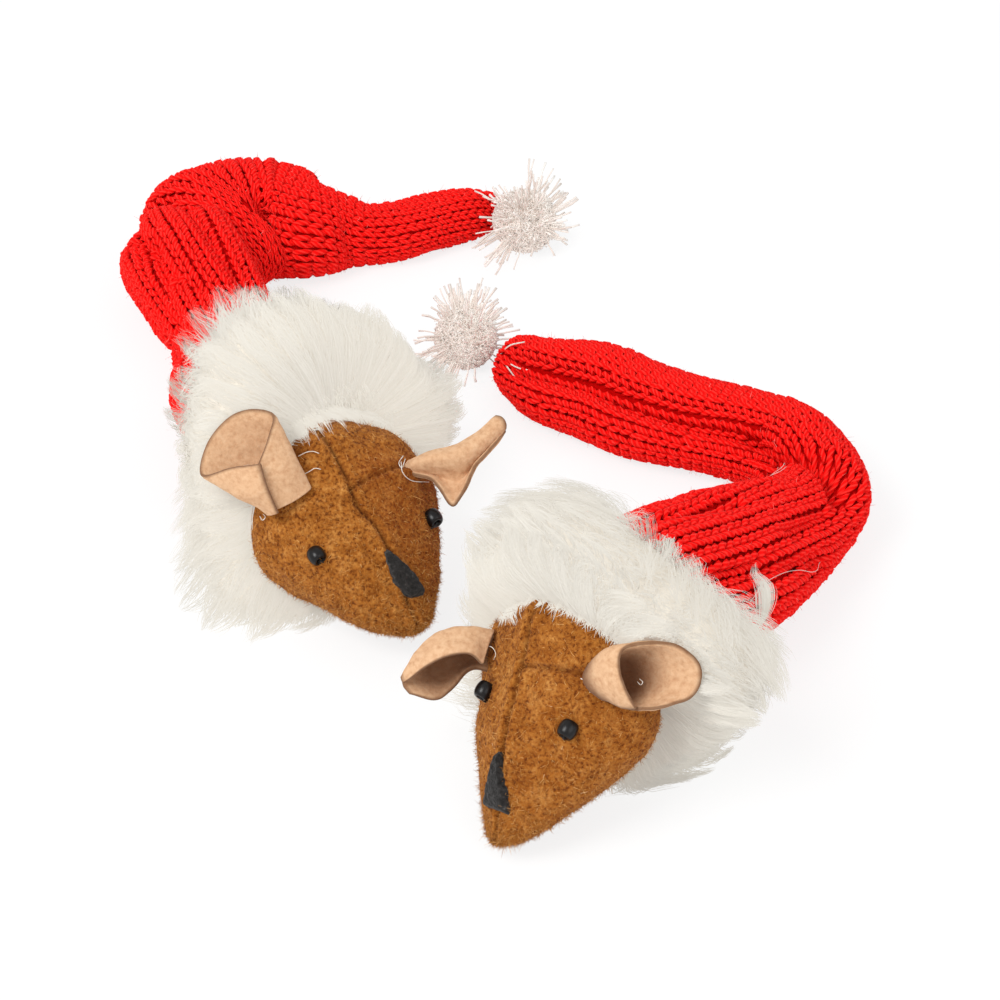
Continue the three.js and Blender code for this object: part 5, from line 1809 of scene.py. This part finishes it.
def add_pompom_core(mouse, middle, radius):
    name = mouse.name
    rows, columns = 24, 36
    tilt = np.linspace(0.08, math.pi - 0.08, rows)[:, None]
    turn = np.linspace(0, TAU, columns, endpoint=False)[None, :]
    parts = np.sin(tilt) * np.cos(turn), np.sin(tilt) * np.sin(turn), np.cos(tilt)
    ball = np.stack(np.broadcast_arrays(*parts), -1)
    ball = ball * (0.7 * radius * (1 + 0.08 * noise(ball * 5, 1, mouse.seed)))[..., None] + middle
    points, faces = closed_tube(flatten_on_ground(ball[::-1], CORE_LIFT))
    core = make_piece(f"{name}_pompom_core", points, faces, POMPOM_GROUND)
    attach(core, f"{name}_pompom_end")
    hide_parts(f"{name}_pompom")


# The tie's loose ends: from the knot, millimetres to the right and up in the photograph's view, and
# nearer.
TIE_ENDS = {
    "mouse_one": [
        [(0, 0, 2), (-1.2, -0.6, 4.6), (-2.2, -0.8, 4.9)], [(0, 0, 2), (-0.8, -2, 4.2), (-2.4, -2.2, 4.6)],
        [(0, 1, 2), (-1.2, 1.6, 4.4), (-2.4, 1.4, 4.8)],
    ],
    "mouse_two": [
        [(-1.6, 0.4, 5), (0.4, 2, 8), (3.4, 2.6, 9.8)],
        [(-1.6, 0, 5), (1.4, -2.4, 8.4), (4.2, -3.2, 10), (6.4, -2.2, 10.4)],
        [(-1.6, -0.4, 5), (0.2, -3, 8), (2.4, -6, 8)], [(-1.8, -1, 5), (0.6, -4.4, 7.4), (3, -7.4, 6.4)],
    ],
}


TIE_TURNS, TIE_POINTS, TIE_END_POINTS = 3, 90, 20
TIE_RADIUS = 0.16
TIE_TIGHTNESS = 0.94

# Where the windings start, how much of the tail they take, and where the knot is, in stations.
TIE_START, TIE_SPAN, KNOT_PLACE = 0.25, 0.12, 0.2


def add_tie(mouse):
    """Windings of thread that gather the tail's tip, with their loose ends."""
    tube = mouse.hat
    turns = np.linspace(0, TIE_TURNS * TAU, TIE_POINTS)
    t = tube.last - TIE_START + TIE_SPAN * turns / turns[-1]
    winding = tube.section(t, turns % TAU - math.pi)
    middle = tube.middle(t)
    winding = middle + (winding - middle) * TIE_TIGHTNESS
    knot = tube.middle(np.array(tube.last - KNOT_PLACE))
    parts = [(winding[None], unit(winding - middle)[None])]
    for ends in TIE_ENDS[mouse.name]:
        line = through(knot + np.array(ends) @ VIEW_AXES, TIE_END_POINTS)[None]
        parts.append((line, np.broadcast_to(VIEW_AXES[2], line.shape)))
    made = []
    for line, normals in parts:
        radii = np.full(line.shape[:2], TIE_RADIUS)
        made.append(yarns(flatten_on_ground(line.copy(), THREAD_LIFT), normals, radii, 6))
    points, faces, uv = merge(made)
    tie = make_piece(f"{mouse.name}_tip_thread", points, faces, WHITE_THREAD, uv=uv)
    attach(tie, f"{mouse.name}_tail")
    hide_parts(f"{mouse.name}_tip_tie")


# The whole pair

for index, data in enumerate(MICE):
    mouse = Mouse(data, index)
    add_head(mouse)
    add_eyes(mouse)
    add_nose(mouse)
    add_ears(mouse)
    add_ear_threads(mouse)
    add_hat(mouse)
    add_ruff(mouse)
    add_pompom(mouse)
    if mouse.name == "mouse_two":
        add_loose_threads(mouse)
        add_caught_tuft(mouse)


# Stage

def add_floor():
    size = 3.0
    mesh = bpy.data.meshes.new("floor")
    corners = [(-size, -size, 0), (size, -size, 0), (size, size, 0), (-size, size, 0)]
    mesh.from_pydata(corners, [], [(0, 1, 2, 3)])
    floor = bpy.data.objects.new("floor", mesh)
    bpy.context.scene.collection.objects.link(floor)
    shade = Shade("white_floor", 1.0, specular=0.0)
    shade.shader.inputs["Base Color"].default_value = colour(246, 246, 246)
    light_path = shade.node("ShaderNodeLightPath").outputs
    seen = shade.maths("MAXIMUM", light_path["Is Camera Ray"], light_path["Is Glossy Ray"])
    seen = shade.maths("MULTIPLY", seen, 0.8)
    white = shade.node("ShaderNodeEmission", {"Color": (1, 1, 1, 1), "Strength": 1.0})
    mixed = shade.node("ShaderNodeMixShader", {0: seen})
    shade.links.new(shade.shader.outputs["BSDF"], mixed.inputs[1])
    shade.links.new(white.outputs["Emission"], mixed.inputs[2])
    shade.links.new(mixed.outputs["Shader"], shade.nodes["Material Output"].inputs["Surface"])
    mesh.materials.append(shade.material)


def add_world():
    world = bpy.data.worlds.new("pale_room")
    world.use_nodes = True
    nodes, links = world.node_tree.nodes, world.node_tree.links
    room = nodes["Background"]
    room.inputs["Color"].default_value = (1, 1, 1, 1)
    room.inputs["Strength"].default_value = 0.76
    white = nodes.new("ShaderNodeBackground")
    white.inputs["Strength"].default_value = 1.0
    white.inputs["Color"].default_value = (1, 1, 1, 1)
    path = nodes.new("ShaderNodeLightPath")
    mixed = nodes.new("ShaderNodeMixShader")
    links.new(path.outputs["Is Camera Ray"], mixed.inputs[0])
    links.new(room.outputs["Background"], mixed.inputs[1])
    links.new(white.outputs["Background"], mixed.inputs[2])
    links.new(mixed.outputs["Shader"], nodes["World Output"].inputs["Surface"])
    bpy.context.scene.world = world


def add_lamp(name, place, size, watts):
    light = bpy.data.lights.new(name, "AREA")
    light.size = size
    light.energy = watts
    lamp = bpy.data.objects.new(name, light)
    lamp.location = place
    aim = Vector((0, 0, 0.01)) - Vector(place)
    lamp.rotation_euler = aim.to_track_quat("-Z", "Y").to_euler()
    bpy.context.scene.collection.objects.link(lamp)


def add_camera():
    """The photograph's view: from the front, 40 degrees above the ground."""
    distance = 0.472
    target = Vector((0.0041, -0.0046, 0))
    camera = bpy.data.objects.new("camera", bpy.data.cameras.new("camera"))
    camera.data.lens = 85
    camera.data.sensor_width = 36
    camera.location = target + distance * Vector((0, -math.cos(ELEVATION), math.sin(ELEVATION)))
    camera.rotation_euler = (math.pi / 2 - ELEVATION, 0, 0)
    bpy.context.scene.collection.objects.link(camera)
    bpy.context.scene.camera = camera


add_floor()
add_world()
add_lamp("key", (-0.45, -0.35, 0.7), 0.4, 5)
add_lamp("fill", (0.5, -0.5, 0.5), 0.6, 1.5)
add_camera()
bpy.context.scene.view_settings.view_transform = "Standard"
